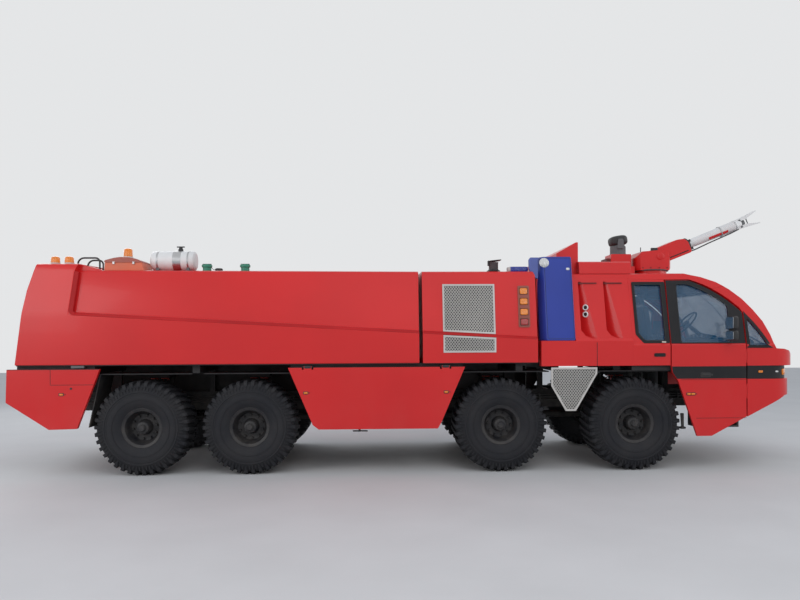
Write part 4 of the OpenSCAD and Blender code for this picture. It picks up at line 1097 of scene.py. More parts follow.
@dataclass
class Coachwork:
    """The red shell, panel by panel, with softened edges and the marks on it."""

    panels: tuple[tuple[str, str, float], ...] = (
        ("engine_module", "engine_cover_panels", 0.010),
        ("cab_quarter", "cab_quarter_panels", 0.008), ("cab_sides", "cab_side_panels", 0.005),
        ("cab_roof", "cab_roof_panels", 0.006), ("cab_pillars", "screen_pillars", 0.004),
        ("nose", "nose_panels", 0.008), ("bumper", "bumper_shell", 0.008),
        ("roof_fairing", "roof_platform", 0.010), ("tail_skirts", "tail_skirt_panels", 0.006))
    tail_hatch: tuple[float, float] = (-1.229, 1.2817)
    markers: tuple[tuple[float, float], ...] = ((-1.079, 1.149),)
    lamp_column_x: float = 5.404
    column_heights: tuple[float, ...] = (2.576, 2.426, 2.276, 2.131)

    def raise_crease(self, points: np.ndarray) -> np.ndarray:
        """Lifts the corners along the engine module's crease to the line of the tank body's crease."""
        x, y, z = points.T
        old = 2.235 - 0.355 * (x + 1.719) / 7.303
        on_line = (np.minimum(np.abs(z - old), np.abs(z - old - 0.04)) < 0.004) & (np.abs(y) > 1.3)
        return np.column_stack([x, y, z + np.where(on_line, crease_height(x) - old, 0)])

    def move_wedge(self, points: np.ndarray) -> np.ndarray:
        """Moves the platform's rear end forward, lifts the wedge's tip and makes its foot taller."""
        x, y, z = points.T
        lift = np.where((x < 6.0) & (z > 3.0), 0.074, np.where(z > 3.2, 0.035, 0.0))
        return np.column_stack([x + np.where(x < 6.0, 0.095, np.where(x < 6.5, 0.055, 0.0)), y, z + lift])

    def raise_scoops(self, points: np.ndarray) -> np.ndarray:
        """Lifts the air scoops' upper edges along the leaning face and moves the front scoop forward."""
        x, y, z = points.T
        upper = (z > 2.58) & (z < 2.66) & (x > 6.18) & (x < 6.93)
        front = (z < 2.66) & (x > 6.52) & (x < 6.93) & (z > 1.87)
        rise = np.where(upper, 0.078, 0.0)
        return np.column_stack([x + np.where(front, 0.03, 0.0), y - np.sign(y) * rise * 0.2126, z + rise])

    def build(self) -> None:
        """Makes the panels and what is set in them."""
        rules = {"engine_module": self.raise_crease, "roof_fairing": self.move_wedge, "cab_quarter": self.raise_scoops,
                 "cab_roof": fuller_screen, "cab_pillars": fuller_screen}
        for node, name, edge in self.panels:
            softened(node, name, CHASSIS_BODY, RED, edge, rules.get(node))
        self.tail_skirt_marks()
        self.lamp_columns()
        self.lower_edges()

    def tail_skirt_marks(self) -> None:
        """The seams of the tail's filler hatch and the cab's rear section, the hatch's lock and the side marker."""
        x, z = self.tail_hatch
        seam = joined([brick((x - 0.003, x + 0.003), (1.4985, 1.5012), (z, 1.497)),
                       brick((x, -0.64), (1.4985, 1.5012), (z - 0.003, z + 0.003)),
                       brick((6.429, 6.437), (1.4985, 1.5010), (1.500, 1.835))])
        lock = lathe([(0.0, -0.002), (0.016, -0.002), (0.016, 0.004), (0.011, 0.006), (0.0, 0.003)], 16,
                     (-0.947, 1.5, 1.23), "Y")
        for side in Side:
            piece(f"tail_hatch_seam_{side.word}", seam.on(side), CHASSIS_BODY, SEAL)
            piece(f"tail_hatch_lock_{side.word}", lock.on(side), CHASSIS_BODY, BLACK)
            for k, place in enumerate(self.markers):
                side_marker(f"tail_marker_{side.word}_{k}", *place, CHASSIS_BODY, side)

    def lamp_columns(self) -> None:
        """Four stacked lamps in pale bezels on each side of the engine module."""
        x = self.lamp_column_x
        plate = cut_plate(round_rectangle((x - 0.082, 2.055), (x + 0.082, 2.655), 0.02),
                          [round_rectangle((x - 0.060, z - 0.050), (x + 0.060, z + 0.050), 0.012)
                           for z in self.column_heights], -0.004, 0.012)
        back = brick((x - 0.07, x + 0.07), (-0.006, 0.002), (2.07, 2.64))
        lenses = [pod((x - 0.054, -0.004, z - 0.044), (x + 0.054, 0.026, z + 0.044), 0.35, 8)
                  for z in self.column_heights]
        for side in Side:
            piece(f"lamp_bezel_{side.word}", TANK_FLANK.hang(plate).on(side), CHASSIS_BODY, BEZEL, round_edge=0.003)
            piece(f"lamp_tray_{side.word}", TANK_FLANK.hang(back).on(side), CHASSIS_BODY, BLACK)
            piece(f"amber_side_lamps_{side.word}", TANK_FLANK.hang(joined(lenses[:3])).on(side), CHASSIS_BODY, AMBER)
            piece(f"red_side_lamp_{side.word}", TANK_FLANK.hang(lenses[3]).on(side), CHASSIS_BODY, RED_LENS)

    def lower_edges(self) -> None:
        """Black rubber strips along the lower edges of the body modules, and the small grey filler plate."""
        strips = [brick((x0, x1), (1.462, 1.492), (1.543, 1.555)) for x0, x1 in ((-1.70, 3.88), (3.96, 5.57))]
        plate = brick((-0.95, -0.77), (1.45, 1.496), (1.512, 1.546))
        for side in Side:
            piece(f"body_edge_rubber_{side.word}", joined(strips).on(side), CHASSIS_BODY, SEAL, round_edge=0.003)
            piece(f"filler_plate_{side.word}", plate.on(side), CHASSIS_BODY, GREY, round_edge=0.004)


def side_marker(name: str, x: float, z: float, body: str, side: Side) -> None:
    """A small amber marker lamp in a black surround on a skirt, with its dark screw ahead of it."""
    base = prism(round_rectangle((x - 0.036, z - 0.020), (x + 0.036, z + 0.020), 0.012), 1.499, 1.5055)
    screw = lathe([(0.0, 0.0), (0.007, 0.0), (0.006, 0.004), (0.0, 0.004)], 10, (x + 0.052, 1.5, z), "Y")
    lens = pod((x - 0.027, 1.500, z - 0.013), (x + 0.027, 1.513, z + 0.013), 0.5, 6)
    piece(f"{name}_base", joined([base, screw]).on(side), body, BLACK)
    piece(f"{name}_lens", lens.on(side), body, AMBER)


@dataclass
class Skirts:
    """The two hinged mid skirts with their markers, hinges and inner frames."""

    ends: tuple[float, float] = (2.048, 4.543)
    low: float = 0.63
    hinges: tuple[float, float] = (2.323, 4.268)

    def build(self) -> None:
        """Makes both skirts."""
        x0, x1 = self.ends
        ribs = joined([brick((x0 + 0.50 + k * 0.36, x0 + 0.53 + k * 0.36), (1.435, 1.461), (self.low + 0.05, 1.46))
                       for k in range(5)])
        covers = joined([pod((x - 0.050, 1.478, 1.488), (x + 0.050, 1.504, 1.528), 0.4, 6) for x in self.hinges])
        for side in Side:
            body = f"flap_{side.word}"
            softened(body, f"mid_skirt_{side.word}", body, RED, 0.006)
            piece(f"skirt_ribs_{side.word}", ribs.on(side), body, CHASSIS, round_edge=0.004)
            piece(f"hinge_covers_{side.word}", covers.on(side), body, BLACK)
            for x in (2.297, 4.274):
                side_marker(f"skirt_marker_{side.word}_{int(x)}", x, 1.146, body, side)


@dataclass
class Grilles:
    """Perforated grilles in pale frames: in the engine module's sides and between the front wheels."""

    rear: float = 4.238
    front: float = 4.988
    border: float = 0.026
    lower: tuple[float, float, float] = (1.70, 1.950, 1.909)
    upper: tuple[float, float, float] = (2.001, 1.959, 2.68)
    arch: tuple[tuple[float, float], ...] = ((5.77, 1.48), (6.431, 1.48), (6.431, 1.39), (6.121, 0.862),
                                             (5.975, 0.862), (5.77, 1.218))

    def panel(self, outline: Outline, pitch: float, wire: float) -> tuple[Shape, Shape]:
        """The frame and the crossed lattice of one opening."""
        inner = grown(outline, -self.border)
        frame = cut_plate(outline, [inner], -0.012, 0.008)
        lattice = joined([hatch(grown(outline, -self.border * 0.7), pitch, wire, 52, -0.006, -0.001),
                          hatch(grown(outline, -self.border * 0.7), pitch, wire, -52, -0.0095, -0.0045)])
        return frame, lattice

    def build(self) -> None:
        """Makes the three grille fields of each side."""
        low, low_top_rear, low_top_front = self.lower
        up_rear, up_front, up = self.upper
        a, b = self.rear, self.front
        fields = [("lower", [(a, low), (b, low), (b, low_top_front), (a, low_top_rear)], LOWER_FLANK),
                  ("upper", [(a, up_rear), (b, up_front), (b, up), (a, up)], TANK_FLANK),
                  ("arch", list(self.arch), LOWER_FLANK)]
        for side in Side:
            for word, outline, flank in fields:
                frame, lattice = self.panel(outline, 0.030, 0.0115)
                piece(f"grille_frame_{word}_{side.word}", flank.hang(frame).on(side), CHASSIS_BODY, PALE_FRAME,
                      ["grilles"], round_edge=0.003)
                piece(f"grille_mesh_{word}_{side.word}", flank.hang(lattice).on(side), CHASSIS_BODY, SILVER)
            back = TANK_FLANK.hang(brick((a + 0.01, b - 0.01), (-0.05, -0.04), (1.95, 2.67)))
            foot = joined([brick((a + 0.01, b - 0.01), (1.44, 1.45), (1.71, 1.95)),
                           prism(grown(self.arch, -0.01), 1.455, 1.462)])
            piece(f"grille_back_{side.word}", joined([back, foot]).on(side), CHASSIS_BODY, SEAL)
            # A black strip behind the gap at the crease: the crease's painted shadow between the lower and upper
            # grille.
            crease_shadow = brick((a, b), (1.425, 1.445), (1.90, 2.00))
            piece(f"grille_slit_{side.word}", crease_shadow.on(side), CHASSIS_BODY, SEAL)


@dataclass
class CornerLamps:
    """The tall blue lamp housings on the cab's rear corners."""

    rear: float = 5.646
    front: float = 6.132
    low: float = 1.865
    high: float = 3.083
    outer: float = 1.479
    lean: float = 0.1807

    def lean_in(self, shape: Shape) -> Shape:
        """Leans a shape inwards with height."""
        return shape.mapped(lambda p: np.column_stack([p[:, 0], p[:, 1] - self.lean * (p[:, 2] - self.low), p[:, 2]]))

    def build(self) -> None:
        """Makes both housings with their lit lamp, facet and small lamp, and the beacon on the roof."""
        a, b, y = self.rear, self.front, self.outer
        plan = [(a, y - 0.22), (a, y - 0.13), (a + 0.075, y), (b, y), (b, y - 0.22)]
        grid = np.array([[(px, py, z) for px, py in rounded(plan, 0.012, 3)]
                         for z in (self.low, self.low + 0.02, 1.5 * self.low, self.high - 0.02, self.high)])
        grid[[0, -1], :, :2] += (np.array([(a + b) / 2, y - 0.11]) - grid[[0, -1], :, :2]) * 0.03
        housing = self.lean_in(surface(grid, around=True, caps=True))
        rim = self.lean_in(cut_plate(round_rectangle((a + 0.085, self.low + 0.02), (b - 0.012, self.high - 0.016), 0.03),
                                     [round_rectangle((a + 0.092, self.low + 0.027), (b - 0.019, self.high - 0.023), 0.026)],
                                     y - 0.002, y + 0.0015))
        facet = self.lean_in(prism([(a - 0.062, 2.78), (a - 0.006, 2.76), (a + 0.012, 3.078), (a - 0.105, 3.078),
                                    (a - 0.132, 3.04), (a - 0.132, 2.90)], y - 0.075, y - 0.030))
        ring = self.lean_in(lathe([(0.0, -0.004), (0.068, -0.004), (0.070, 0.006), (0.060, 0.010), (0.056, 0.006), (0.0, 0.006)],
                                  32, (a + 0.085, y, 2.995), "Y"))
        dome = self.lean_in(lathe([(0.054, 0.004), (0.050, 0.016), (0.036, 0.026), (0.018, 0.031), (0.0, 0.032)],
                                  32, (a + 0.085, y, 2.995), "Y"))
        spot = self.lean_in(pod((b - 0.085, y - 0.004, 2.885), (b - 0.035, y + 0.014, 2.92), 0.5, 6))
        for side in Side:
            w = side.word
            piece(f"blue_corner_housing_{w}", housing.on(side), CHASSIS_BODY, BLUE, ["blue_lamps"])
            piece(f"blue_corner_seal_{w}", rim.on(side), CHASSIS_BODY, DEEP_BLUE)
            piece(f"corner_facet_{w}", facet.on(side), CHASSIS_BODY, PALE_BLUE, round_edge=0.008)
            piece(f"corner_lamp_ring_{w}", ring.on(side), CHASSIS_BODY, CHROME)
            piece(f"corner_lamp_dome_{w}", dome.on(side), CHASSIS_BODY, CLEAR_LENS)
            piece(f"corner_front_lamp_{w}", spot.on(side), CHASSIS_BODY, CLEAR_LENS)
        beacon = pod((5.234, -1.195, 2.876), (5.520, -1.085, 2.950), 0.3, 8)
        pale_end = pod((5.216, -1.197, 2.874), (5.262, -1.083, 2.944), 0.35, 6)
        piece("roof_beacon", beacon, CHASSIS_BODY, BLUE_LENS, ["blue_lamps"])
        piece("roof_beacon_end", pale_end, CHASSIS_BODY, PALE_FRAME)


# Cab


@dataclass
class Cab:
    """What is set in the cab's skin: window surrounds, scoop edges, plate, latch, sockets, glass."""

    pillar_centre: tuple[float, float] = (7.208, 0.900)
    pillar_radius: float = 2.019
    door_rear: float = 7.494
    door_front: float = 8.602

    def pillar_arc(self, inset: float, start: float, end: float, steps: int = 6) -> list[tuple[float, float]]:
        """Points along the pillar line, a distance inside it."""
        return arc_points(self.pillar_centre, self.pillar_radius - inset, start, end, steps)

    def rear_window(self) -> list[tuple[float, float]]:
        """Side view of the window behind the door."""
        return [(7.03, 2.68), (7.44, 2.68), (7.44, 1.85), (7.13, 1.85), (7.04, 1.96)]

    def quarter_window(self) -> list[tuple[float, float]]:
        """Side view of the three-cornered window ahead of the door."""
        return [(8.642, 1.775), *self.pillar_arc(0.085, 42.1, 26.9, 5)]

    def build(self) -> None:
        """Makes what is set in the cab's skin on both sides."""
        softened("cab_glass", "cab_panes", CHASSIS_BODY, GLASS, 0.0, fuller_screen)
        rear = rounded(self.rear_window(), 0.03, 4)
        rear_edge = [(7.004, 2.712), (7.4935, 2.712), (7.4935, 1.818), (7.115, 1.818), (7.006, 1.946)]
        surround = cut_plate(rounded(rear_edge, 0.02, 3), [rounded(grown(self.rear_window(), -0.012), 0.03, 4)], 0.0008, 0.004)
        seal = cut_plate(grown(rear, 0.004), [grown(rear, -0.012)], -0.010, 0.006)
        quarter = self.quarter_window()
        edge = grown(quarter, 0.030)
        front = cut_plate(edge, [grown(quarter, -0.010)], 0.0008, 0.004)
        latch = prism(rounded([(7.375, 1.825), (7.435, 1.825), (7.435, 1.845), (7.375, 1.848)], 0.006, 2), 0.0, 0.014)
        plate = pod((7.255, 1.498, 1.625), (7.42, 1.506, 1.677), 0.25, 6)
        rings, cups = (joined([part.moved(6.319, 1.332, z) for z in (2.339, 2.239)]) for part in self.socket())
        lips = joined([self.scoop_lip(x) for x in (6.224, 6.594)])
        for side in Side:
            w = side.word
            piece(f"rear_window_surround_{w}", CAB_FLANK.hang(surround).on(side), CHASSIS_BODY, BAND)
            piece(f"rear_window_seal_{w}", CAB_FLANK.hang(seal).on(side), CHASSIS_BODY, SEAL)
            piece(f"quarter_window_border_{w}", CAB_FLANK.hang(front).on(side), CHASSIS_BODY, BAND)
            piece(f"window_latch_{w}", CAB_FLANK.hang(latch).on(side), CHASSIS_BODY, CREAM)
            piece(f"blank_side_plate_{w}", plate.on(side), CHASSIS_BODY, BAND)
            piece(f"scoop_socket_rings_{w}", rings.on(side), CHASSIS_BODY, WHITE)
            piece(f"scoop_socket_cups_{w}", cups.on(side), CHASSIS_BODY, SEAL)
            # The lips are near-black red: painted shade of the scoops' upper slits.
            piece(f"scoop_lips_{w}", QUARTER_FLANK.hang(lips).on(side), CHASSIS_BODY, DARK_RED)

    def socket(self) -> tuple[Shape, Shape]:
        """The white ring and the dark cup of a round socket that faces out of the scoop's slanting floor."""
        ring = lathe([(0.026, -0.004), (0.028, 0.010), (0.034, 0.015), (0.041, 0.012), (0.045, 0.0), (0.040, -0.006),
                      (0.026, -0.004)], 28, axis="Y")
        cup = lathe([(0.0, 0.002), (0.027, 0.002), (0.028, -0.006), (0.0, -0.010)], 28, axis="Y")
        return ring.turned("Z", 44), cup.turned("Z", 44)

    def scoop_lip(self, x: float) -> Shape:
        """The folded strip along an air scoop's upper edge, in near-black red as the painted shade of the slit under
        it.
        """
        return brick((x + 0.005, x + 0.27), (-0.018, 0.002), (2.684, 2.704))


@dataclass
class DoorSet:
    """Both cab doors: skins, black window frames, band, handle, panel seams, inner trim and glass."""

    cab: Cab

    def window(self) -> list[tuple[float, float]]:
        """Side view of the door's window."""
        x0, x1 = self.cab.door_rear + 0.155, self.cab.door_front - 0.205
        return [(x0, 1.815), (x0, 2.685), *self.cab.pillar_arc(0.130, 71, 51, 6), (x1, 1.815)]

    def upper_edge(self) -> list[tuple[float, float]]:
        """Side view of the door above the belt."""
        x0, x1 = self.cab.door_rear + 0.018, self.cab.door_front - 0.011
        return [(x0, 1.812), (x0, 2.731), *self.cab.pillar_arc(0.079, 70.7, 44.8, 8), (x1, 2.22), (x1, 1.812)]

    def build(self) -> None:
        """Makes both doors."""
        window = self.window()
        frame = cut_plate(self.upper_edge(), [rounded(grown(window, -0.012), 0.03, 4)], 0.0008, 0.0042)
        seal = cut_plate(rounded(grown(window, 0.003), 0.03, 4), [rounded(grown(window, -0.012), 0.03, 4)], -0.008, 0.0065)
        x1 = self.cab.door_front - 0.010
        band = prism([(7.513, 1.484), (x1, 1.484), (x1, 1.308), (7.584, 1.308), (7.523, 1.398)], 1.5002, 1.5035)
        step = prism([(x1 - 0.95, 1.2915), (x1, 1.2915), (x1, 1.2965), (x1 - 0.95, 1.2965)], 1.4995, 1.5025)
        line = brick((7.86, x1), (1.4985, 1.5012), (0.7395, 0.7455))
        handle = joined([prism(round_rectangle((7.925, 1.328), (8.075, 1.396), 0.02), 1.503, 1.506),
                         pod((7.94, 1.505, 1.350), (8.06, 1.522, 1.376), 0.35, 6)])
        button = lathe([(0.0, 0.0), (0.015, 0.0), (0.014, 0.006), (0.0, 0.007)], 18, (8.09, 1.503, 1.362), "Y")
        trim = cut_plate(grown(self.upper_edge(), -0.035), [rounded(grown(window, 0.012), 0.03, 4)], -0.047, -0.041)
        card = prism(rounded([(7.56, 1.46), (8.56, 1.46), (8.56, 0.79), (8.06, 0.53), (7.90, 0.53), (7.64, 1.27)], 0.03, 3),
                     1.452, 1.459)
        belt = brick((7.56, 8.56), (1.425, 1.456), (1.50, 1.78))
        pocket = pod((7.70, 1.39, 1.56), (8.40, 1.435, 1.70), 0.3, 6)
        for side in Side:
            w, body = side.word, f"door_{side.word}"
            softened(f"door_{w}", f"door_skin_{w}", body, RED, 0.004)
            dress(f"door_glass_{w}", GLASS)
            piece(f"door_window_frame_{w}", CAB_FLANK.hang(frame).on(side), body, BAND)
            piece(f"door_window_seal_{w}", CAB_FLANK.hang(seal).on(side), body, SEAL)
            piece(f"door_band_{w}", band.on(side), body, BAND, round_edge=0.001)
            piece(f"door_seams_{w}", joined([step, line]).on(side), body, DARK_RED)
            piece(f"door_handle_{w}", joined([handle, button]).on(side), body, BLACK)
            piece(f"door_upper_trim_{w}", CAB_FLANK.hang(trim).on(side), body, GREY)
            piece(f"door_card_{w}", joined([card, belt, pocket]).on(side), body, GREY, round_edge=0.004)
            for k, x in enumerate((7.755, 7.815)):
                side_marker(f"door_marker_{w}_{k}", x, 1.09, body, side)


@dataclass
class Mirrors:
    """Two-pane mirrors on tubular arms ahead of the doors' windows."""

    x: float = 8.272
    y: float = 1.61

    def build(self) -> None:
        """Makes both mirrors."""
        x, y = self.x, self.y
        heads = [pod((x - 0.004, y - 0.072, low), (x + 0.072, y + 0.168, high), 0.32, 8)
                 for low, high in ((2.008, 2.196), (1.852, 1.994))]
        panes = [prism(round_rectangle((y - 0.058, low), (y + 0.154, high), 0.02), x - 0.0065, x - 0.003, "X")
                 for low, high in ((2.022, 2.180), (1.864, 1.982))]
        post = tube([(x + 0.04, y + 0.02, z) for z in (1.838, 1.95, 2.1, 2.2)], 0.012, 12)
        arms = [tube([(x + 0.04 + 0.53 * t, y + 0.02 - 0.848 * t, z) for t in (0.0, 0.05, 0.12, end)], 0.0115, 12)
                for z, end in ((1.88, 0.185), (2.15, 0.245))]
        feet = [lathe([(0.0, -0.004), (0.030, -0.004), (0.028, 0.006), (0.016, 0.012), (0.0, 0.012)], 18, (0, 0, 0), "Y")
                .moved(8.41, float(CAB_FLANK.y(np.array(1.88))) , 1.88),
                lathe([(0.0, -0.004), (0.030, -0.004), (0.028, 0.006), (0.016, 0.012), (0.0, 0.012)], 18, (0, 0, 0), "Y")
                .moved(8.438, float(CAB_FLANK.y(np.array(2.15))), 2.15)]
        for side in Side:
            w, body = side.word, f"door_{side.word}"
            piece(f"mirror_heads_{w}", joined(heads).on(side), body, BLACK, [f"mirror_{w}"])
            piece(f"mirror_arms_{w}", joined([post, *arms, *feet]).on(side), body, BLACK, [f"mirror_{w}"])
            piece(f"mirror_panes_{w}", joined(panes).on(side), body, CHROME)


def crease_height(x: np.ndarray | float) -> np.ndarray | float:
    """Height of the body's crease at a station: it falls straight from the tail to the engine module's front."""
    return 2.295 - 0.415 * (x + 1.719) / 7.303


@dataclass
class TankBody:
    """The tank and locker body: its length, the raised tail, and the crease that turns up along the recess.

    Above the crease the length's side leans in, y = 1.46 - 0.1467 (z - 1.92). The tail's rear and recess
    edges are given as height and station.
    """

    rear_edge: tuple[tuple[float, float], ...] = ((1.555, -1.719), (2.214, -1.631), (2.60, -1.567), (2.982, -1.460),
                                                  (3.027, -1.450))
    recess_edge: tuple[tuple[float, float], ...] = ((1.555, -0.976), (2.3188, -0.976), (2.60, -0.948), (2.87, -0.926),
                                                    (2.943, -0.900), (2.982, -0.885), (3.027, -0.885))
    front: float = 3.898
    corner: float = 0.07
    chamfer: float = 0.04

    def floor(self, z: float) -> float:
        """Distance of the leaning side from the middle plane at a height."""
        return 1.46 - 0.1467 * (z - 1.92)

    def length(self) -> Shape:
        """The body from the recess to its front end, with its crowned roof."""
        rows = []
        for x in (-1.05, self.front):
            c, roof = crease_height(x), 2.87 if x > 0 else 2.90
            half = [(1.5, 1.555), (1.5, c), (self.floor(c + 0.043), c + 0.043), (1.3265, roof - 0.04), (1.3115, roof - 0.012),
                    (1.2665, roof)]
            rows.append([(x, y, z) for y, z in half] + [(x, 0.0, 2.93)] + [(x, -y, z) for y, z in half[::-1]])
        return outward(surface(np.array(rows), around=True, caps=True))

    def tail(self) -> Shape:
        """The raised tail as rings from its lower edge up to the ridge of its roof."""
        tops = {2.943: 1.4023, 2.970: 1.3873, 2.982: 1.3443, 3.027: 0.02}
        rows = []
        for z in (1.555, 2.214, 2.295, 2.3188, 2.60, 2.87, *tops):
            y = tops.get(z, float(TAIL_FLANK.y(np.array(z))))
            a, b = (float(np.interp(z, *np.array(edge).T)) for edge in (self.rear_edge, self.recess_edge))
            rows.append([(a, -y, z), (b, -y, z), (b, y, z), (a, y, z)])
        return outward(surface(np.array(rows), around=True, caps=True))

    def recess_line(self) -> list[tuple[float, float, float, float]]:
        """Stations, heights and inward directions along the crease, round the corner and up the recess."""
        x = self.recess_edge[0][1] + self.corner
        centre = (x, float(crease_height(x)) + self.corner)
        line = [(a, float(crease_height(a)), 0.057, 0.998) for a in np.linspace(self.front - 0.005, x, 4)]
        for a in np.radians(np.linspace(262, 184, 7)):
            line.append((centre[0] + self.corner * math.cos(a), centre[1] + self.corner * math.sin(a), -math.cos(a), -math.sin(a)))
        return line + [(a, z, 0.995, -0.08) for z, a in self.recess_edge[1:4]]

    def strip(self, line: Sequence[tuple[float, float, float, float]]) -> Shape:
        """The slanting strip from the outer skin down to the leaning side, along a line."""
        rows = []
        for x, z, to_x, to_z in line:
            skin = float(TAIL_FLANK.y(np.array(z)))
            far_x, far_z = x + self.chamfer * to_x, z + self.chamfer * to_z
            rows.append([(x - 0.001 * to_x, skin + 0.0008, z - 0.001 * to_z), (far_x, skin - self.chamfer, far_z),
                         (far_x + 0.004 * to_x, self.floor(far_z) - 0.003, far_z + 0.004 * to_z), (x, self.floor(z) - 0.03, z)])
        return outward(surface(np.array(rows), around=True, caps=True))

    def build(self) -> None:
        """Makes the body, the crease strips of both modules in darker red as painted shade, and the recess's corners.
        """
        slope = prism([(-0.95, 2.80), (-0.60, 2.890), (-0.60, 2.900), (-0.885, 2.980), (-0.95, 2.980)], -1.30, 1.30)
        piece("tank_body_panels", joined([self.length(), self.tail()]), CHASSIS_BODY, RED, ["rear_body"], 0.012)
        piece("tail_roof_slope", slope, CHASSIS_BODY, RED, ["rear_body"], 0.004)
        line = self.recess_line()
        module = [(a, float(crease_height(a)), 0.057, 0.998) for a in (5.579, 4.6, 3.953)]
        corner = [(self.recess_edge[0][1] - 0.002, line[3][1] - 0.003), *[(x, z) for x, z, _, _ in line[3:12]]]
        filler = TAIL_FLANK.hang(prism(corner, -0.10, 0.0004))
        for side in Side:
            # The crease strips are darker red: painted shade on the chamfer at the crease.
            piece(f"crease_strip_{side.word}", joined([self.strip(line), self.strip(module)]).on(side), CHASSIS_BODY, PAINTED_SHADE_RED)
            piece(f"recess_corner_{side.word}", filler.on(side), CHASSIS_BODY, RED)


@dataclass
class FrontEnd:
    """Windscreen border, seal and wipers, the lamps in the black band and the bumper, and a blank plate."""

    screen_radius: float = 2.019
    lamp_height: float = 1.395
    lamps: tuple[tuple[float, float], ...] = ((0.78, 0.065), (0.95, 0.065), (1.10, 0.045))

    def on_screen(self, shape: Shape) -> Shape:
        """Lays a shape on the bowed screen: its X goes across, its Y is the distance out of the silhouette.

        The silhouette's radius from the bow's axis is r(z) = c + sqrt((R + out)^2 - (z - h)^2).
        """
        centre, height = SCREEN_CENTRE

        def rule(p: np.ndarray) -> np.ndarray:
            reach = centre + np.sqrt((self.screen_radius + p[:, 1]) ** 2 - (p[:, 2] - height) ** 2)
            return np.column_stack([BOW_AXIS + np.sqrt(reach ** 2 - p[:, 0] ** 2), p[:, 0], p[:, 2]])

        return outward(shape.mapped(rule).mapped(fuller_screen))

    def bow_face(self, radius: float, y: float) -> float:
        """X of the bow of that radius at a distance y from the middle."""
        return BOW_AXIS + math.sqrt(radius ** 2 - y ** 2)

    def lamp(self, place: tuple[float, float, float], radius: float) -> tuple[Shape, Shape]:
        """The bright ring and the domed glass of a round lamp that looks forward."""
        r = radius
        ring = lathe([(r + 0.001, -0.03), (r + 0.010, 0.000), (r + 0.008, 0.008), (r, 0.011), (r - 0.006, 0.006),
                      (r - 0.006, -0.03), (r + 0.001, -0.03)], 40, place, "X")
        glass = lathe([(0.0, 0.0), (r - 0.006, 0.0), (r - 0.010, 0.006), (r * 0.6, 0.012), (0.0, 0.014)], 40, place, "X")
        return ring, glass

    def wiper(self, y: float, lean: float) -> Shape:
        """A wiper at rest on the screen: pivot, arm and blade."""
        pivot = np.array([y, -0.004, 1.765])
        way = np.array([math.cos(math.radians(lean)), 0, math.sin(math.radians(lean))])
        arm = [pivot + way * t + np.array([0, 0.022 - 0.018 * t, 0]) for t in np.linspace(0, 0.62, 9)]
        blade = [pivot + way * (0.60 + t) + np.array([0, -0.010, 0]) for t in np.linspace(-0.42, 0.34, 17)]
        boss = lathe([(0.0, -0.03), (0.022, -0.03), (0.020, 0.026), (0.0, 0.030)], 16, tuple(pivot), "Y")
        return joined([tube(arm, 0.008, 8), tube(blade, 0.009, 6), boss])

    def build(self) -> None:
        """Makes the front end's fittings."""
        softened("lamp_band", "lamp_band_shell", CHASSIS_BODY, BAND, 0.005)
        opening = [(-1.318, 1.748), (1.318, 1.748), (1.138, 2.592), (-1.138, 2.592)]
        piece("screen_border", self.on_screen(border(opening, 0.055, -0.0205, -0.0185)), CHASSIS_BODY, SEAL)
        piece("screen_seal", self.on_screen(border(grown(opening, 0.004), 0.016, -0.030, -0.004)), CHASSIS_BODY, BLACK)
        middle = [(-0.011, -0.0205, z) for z in np.linspace(1.76, 2.58, 12)]
        strip = np.array([[(x, y, z) for x, y in ((-0.011, -0.0205), (0.011, -0.0205), (0.011, -0.015), (-0.011, -0.015))]
                          for _, _, z in middle])
        piece("screen_middle_seal", self.on_screen(outward(surface(strip, around=True, caps=True))), CHASSIS_BODY, SEAL)
        wipers = [self.on_screen(self.wiper(y, lean)) for y, lean in ((-1.05, 14.0), (0.10, 14.0))]
        piece("screen_wipers", joined(wipers), CHASSIS_BODY, BLACK)
        rings, glasses, fogs = [], [], []
        for y, radius in self.lamps:
            ring, glass = self.lamp((self.bow_face(4.95, y - radius) + 0.008, y, self.lamp_height), radius)
            rings.append(ring)
            glasses.append(glass)
        ring, glass = self.lamp((self.bow_face(4.99, 0.845) + 0.008, 0.90, 1.195), 0.055)
        fogs.append(glass)
        rings.append(ring)
        turn = pod((-0.020, -0.070, 1.350), (0.022, 0.070, 1.440), 0.3, 7).turned("Z", 40).moved(9.195, 1.385, 0)
        seam = brick((9.0405, 9.0485), (1.470, 1.4898), (1.505, 1.70))
        marker = pod((8.768, 1.499, 1.388), (8.832, 1.510, 1.420), 0.4, 6)
        reflector = pod((9.020, 1.484, 1.392), (9.068, 1.4925, 1.416), 0.4, 5)
        skirt = prism(rounded([(8.64, 0.80), (9.17, 1.075), (9.17, 1.045), (8.66, 0.765)], 0.01, 2), 1.40, 1.43)
        for side in Side:
            w = side.word
            piece(f"headlamp_rings_{w}", joined(rings).on(side), CHASSIS_BODY, CHROME)
            piece(f"headlamp_glasses_{w}", joined(glasses).on(side), CHASSIS_BODY, CLEAR_LENS)
            piece(f"fog_lamp_glass_{w}", joined(fogs).on(side), CHASSIS_BODY, CLEAR_LENS)
            piece(f"front_turn_lamp_{w}", turn.on(side), CHASSIS_BODY, AMBER)
            piece(f"nose_seam_{w}", seam.on(side), CHASSIS_BODY, DARK_RED)
            piece(f"nose_marker_{w}", marker.on(side), CHASSIS_BODY, AMBER)
            # The reflector is no lamp; the clear lens's glow on it is painted light.
            piece(f"nose_reflector_{w}", reflector.on(side), CHASSIS_BODY, CLEAR_LENS)
            piece(f"bumper_rubber_{w}", skirt.on(side), CHASSIS_BODY, SEAL)
        plate = prism(round_rectangle((-0.26, 1.13), (0.26, 1.24), 0.012), 9.485, 9.499, "X")
        rim = prism(round_rectangle((-0.268, 1.122), (0.268, 1.248), 0.014), 9.478, 9.490, "X")
        piece("blank_front_plate", plate, CHASSIS_BODY, WHITE)
        piece("front_plate_holder", rim, CHASSIS_BODY, BLACK)


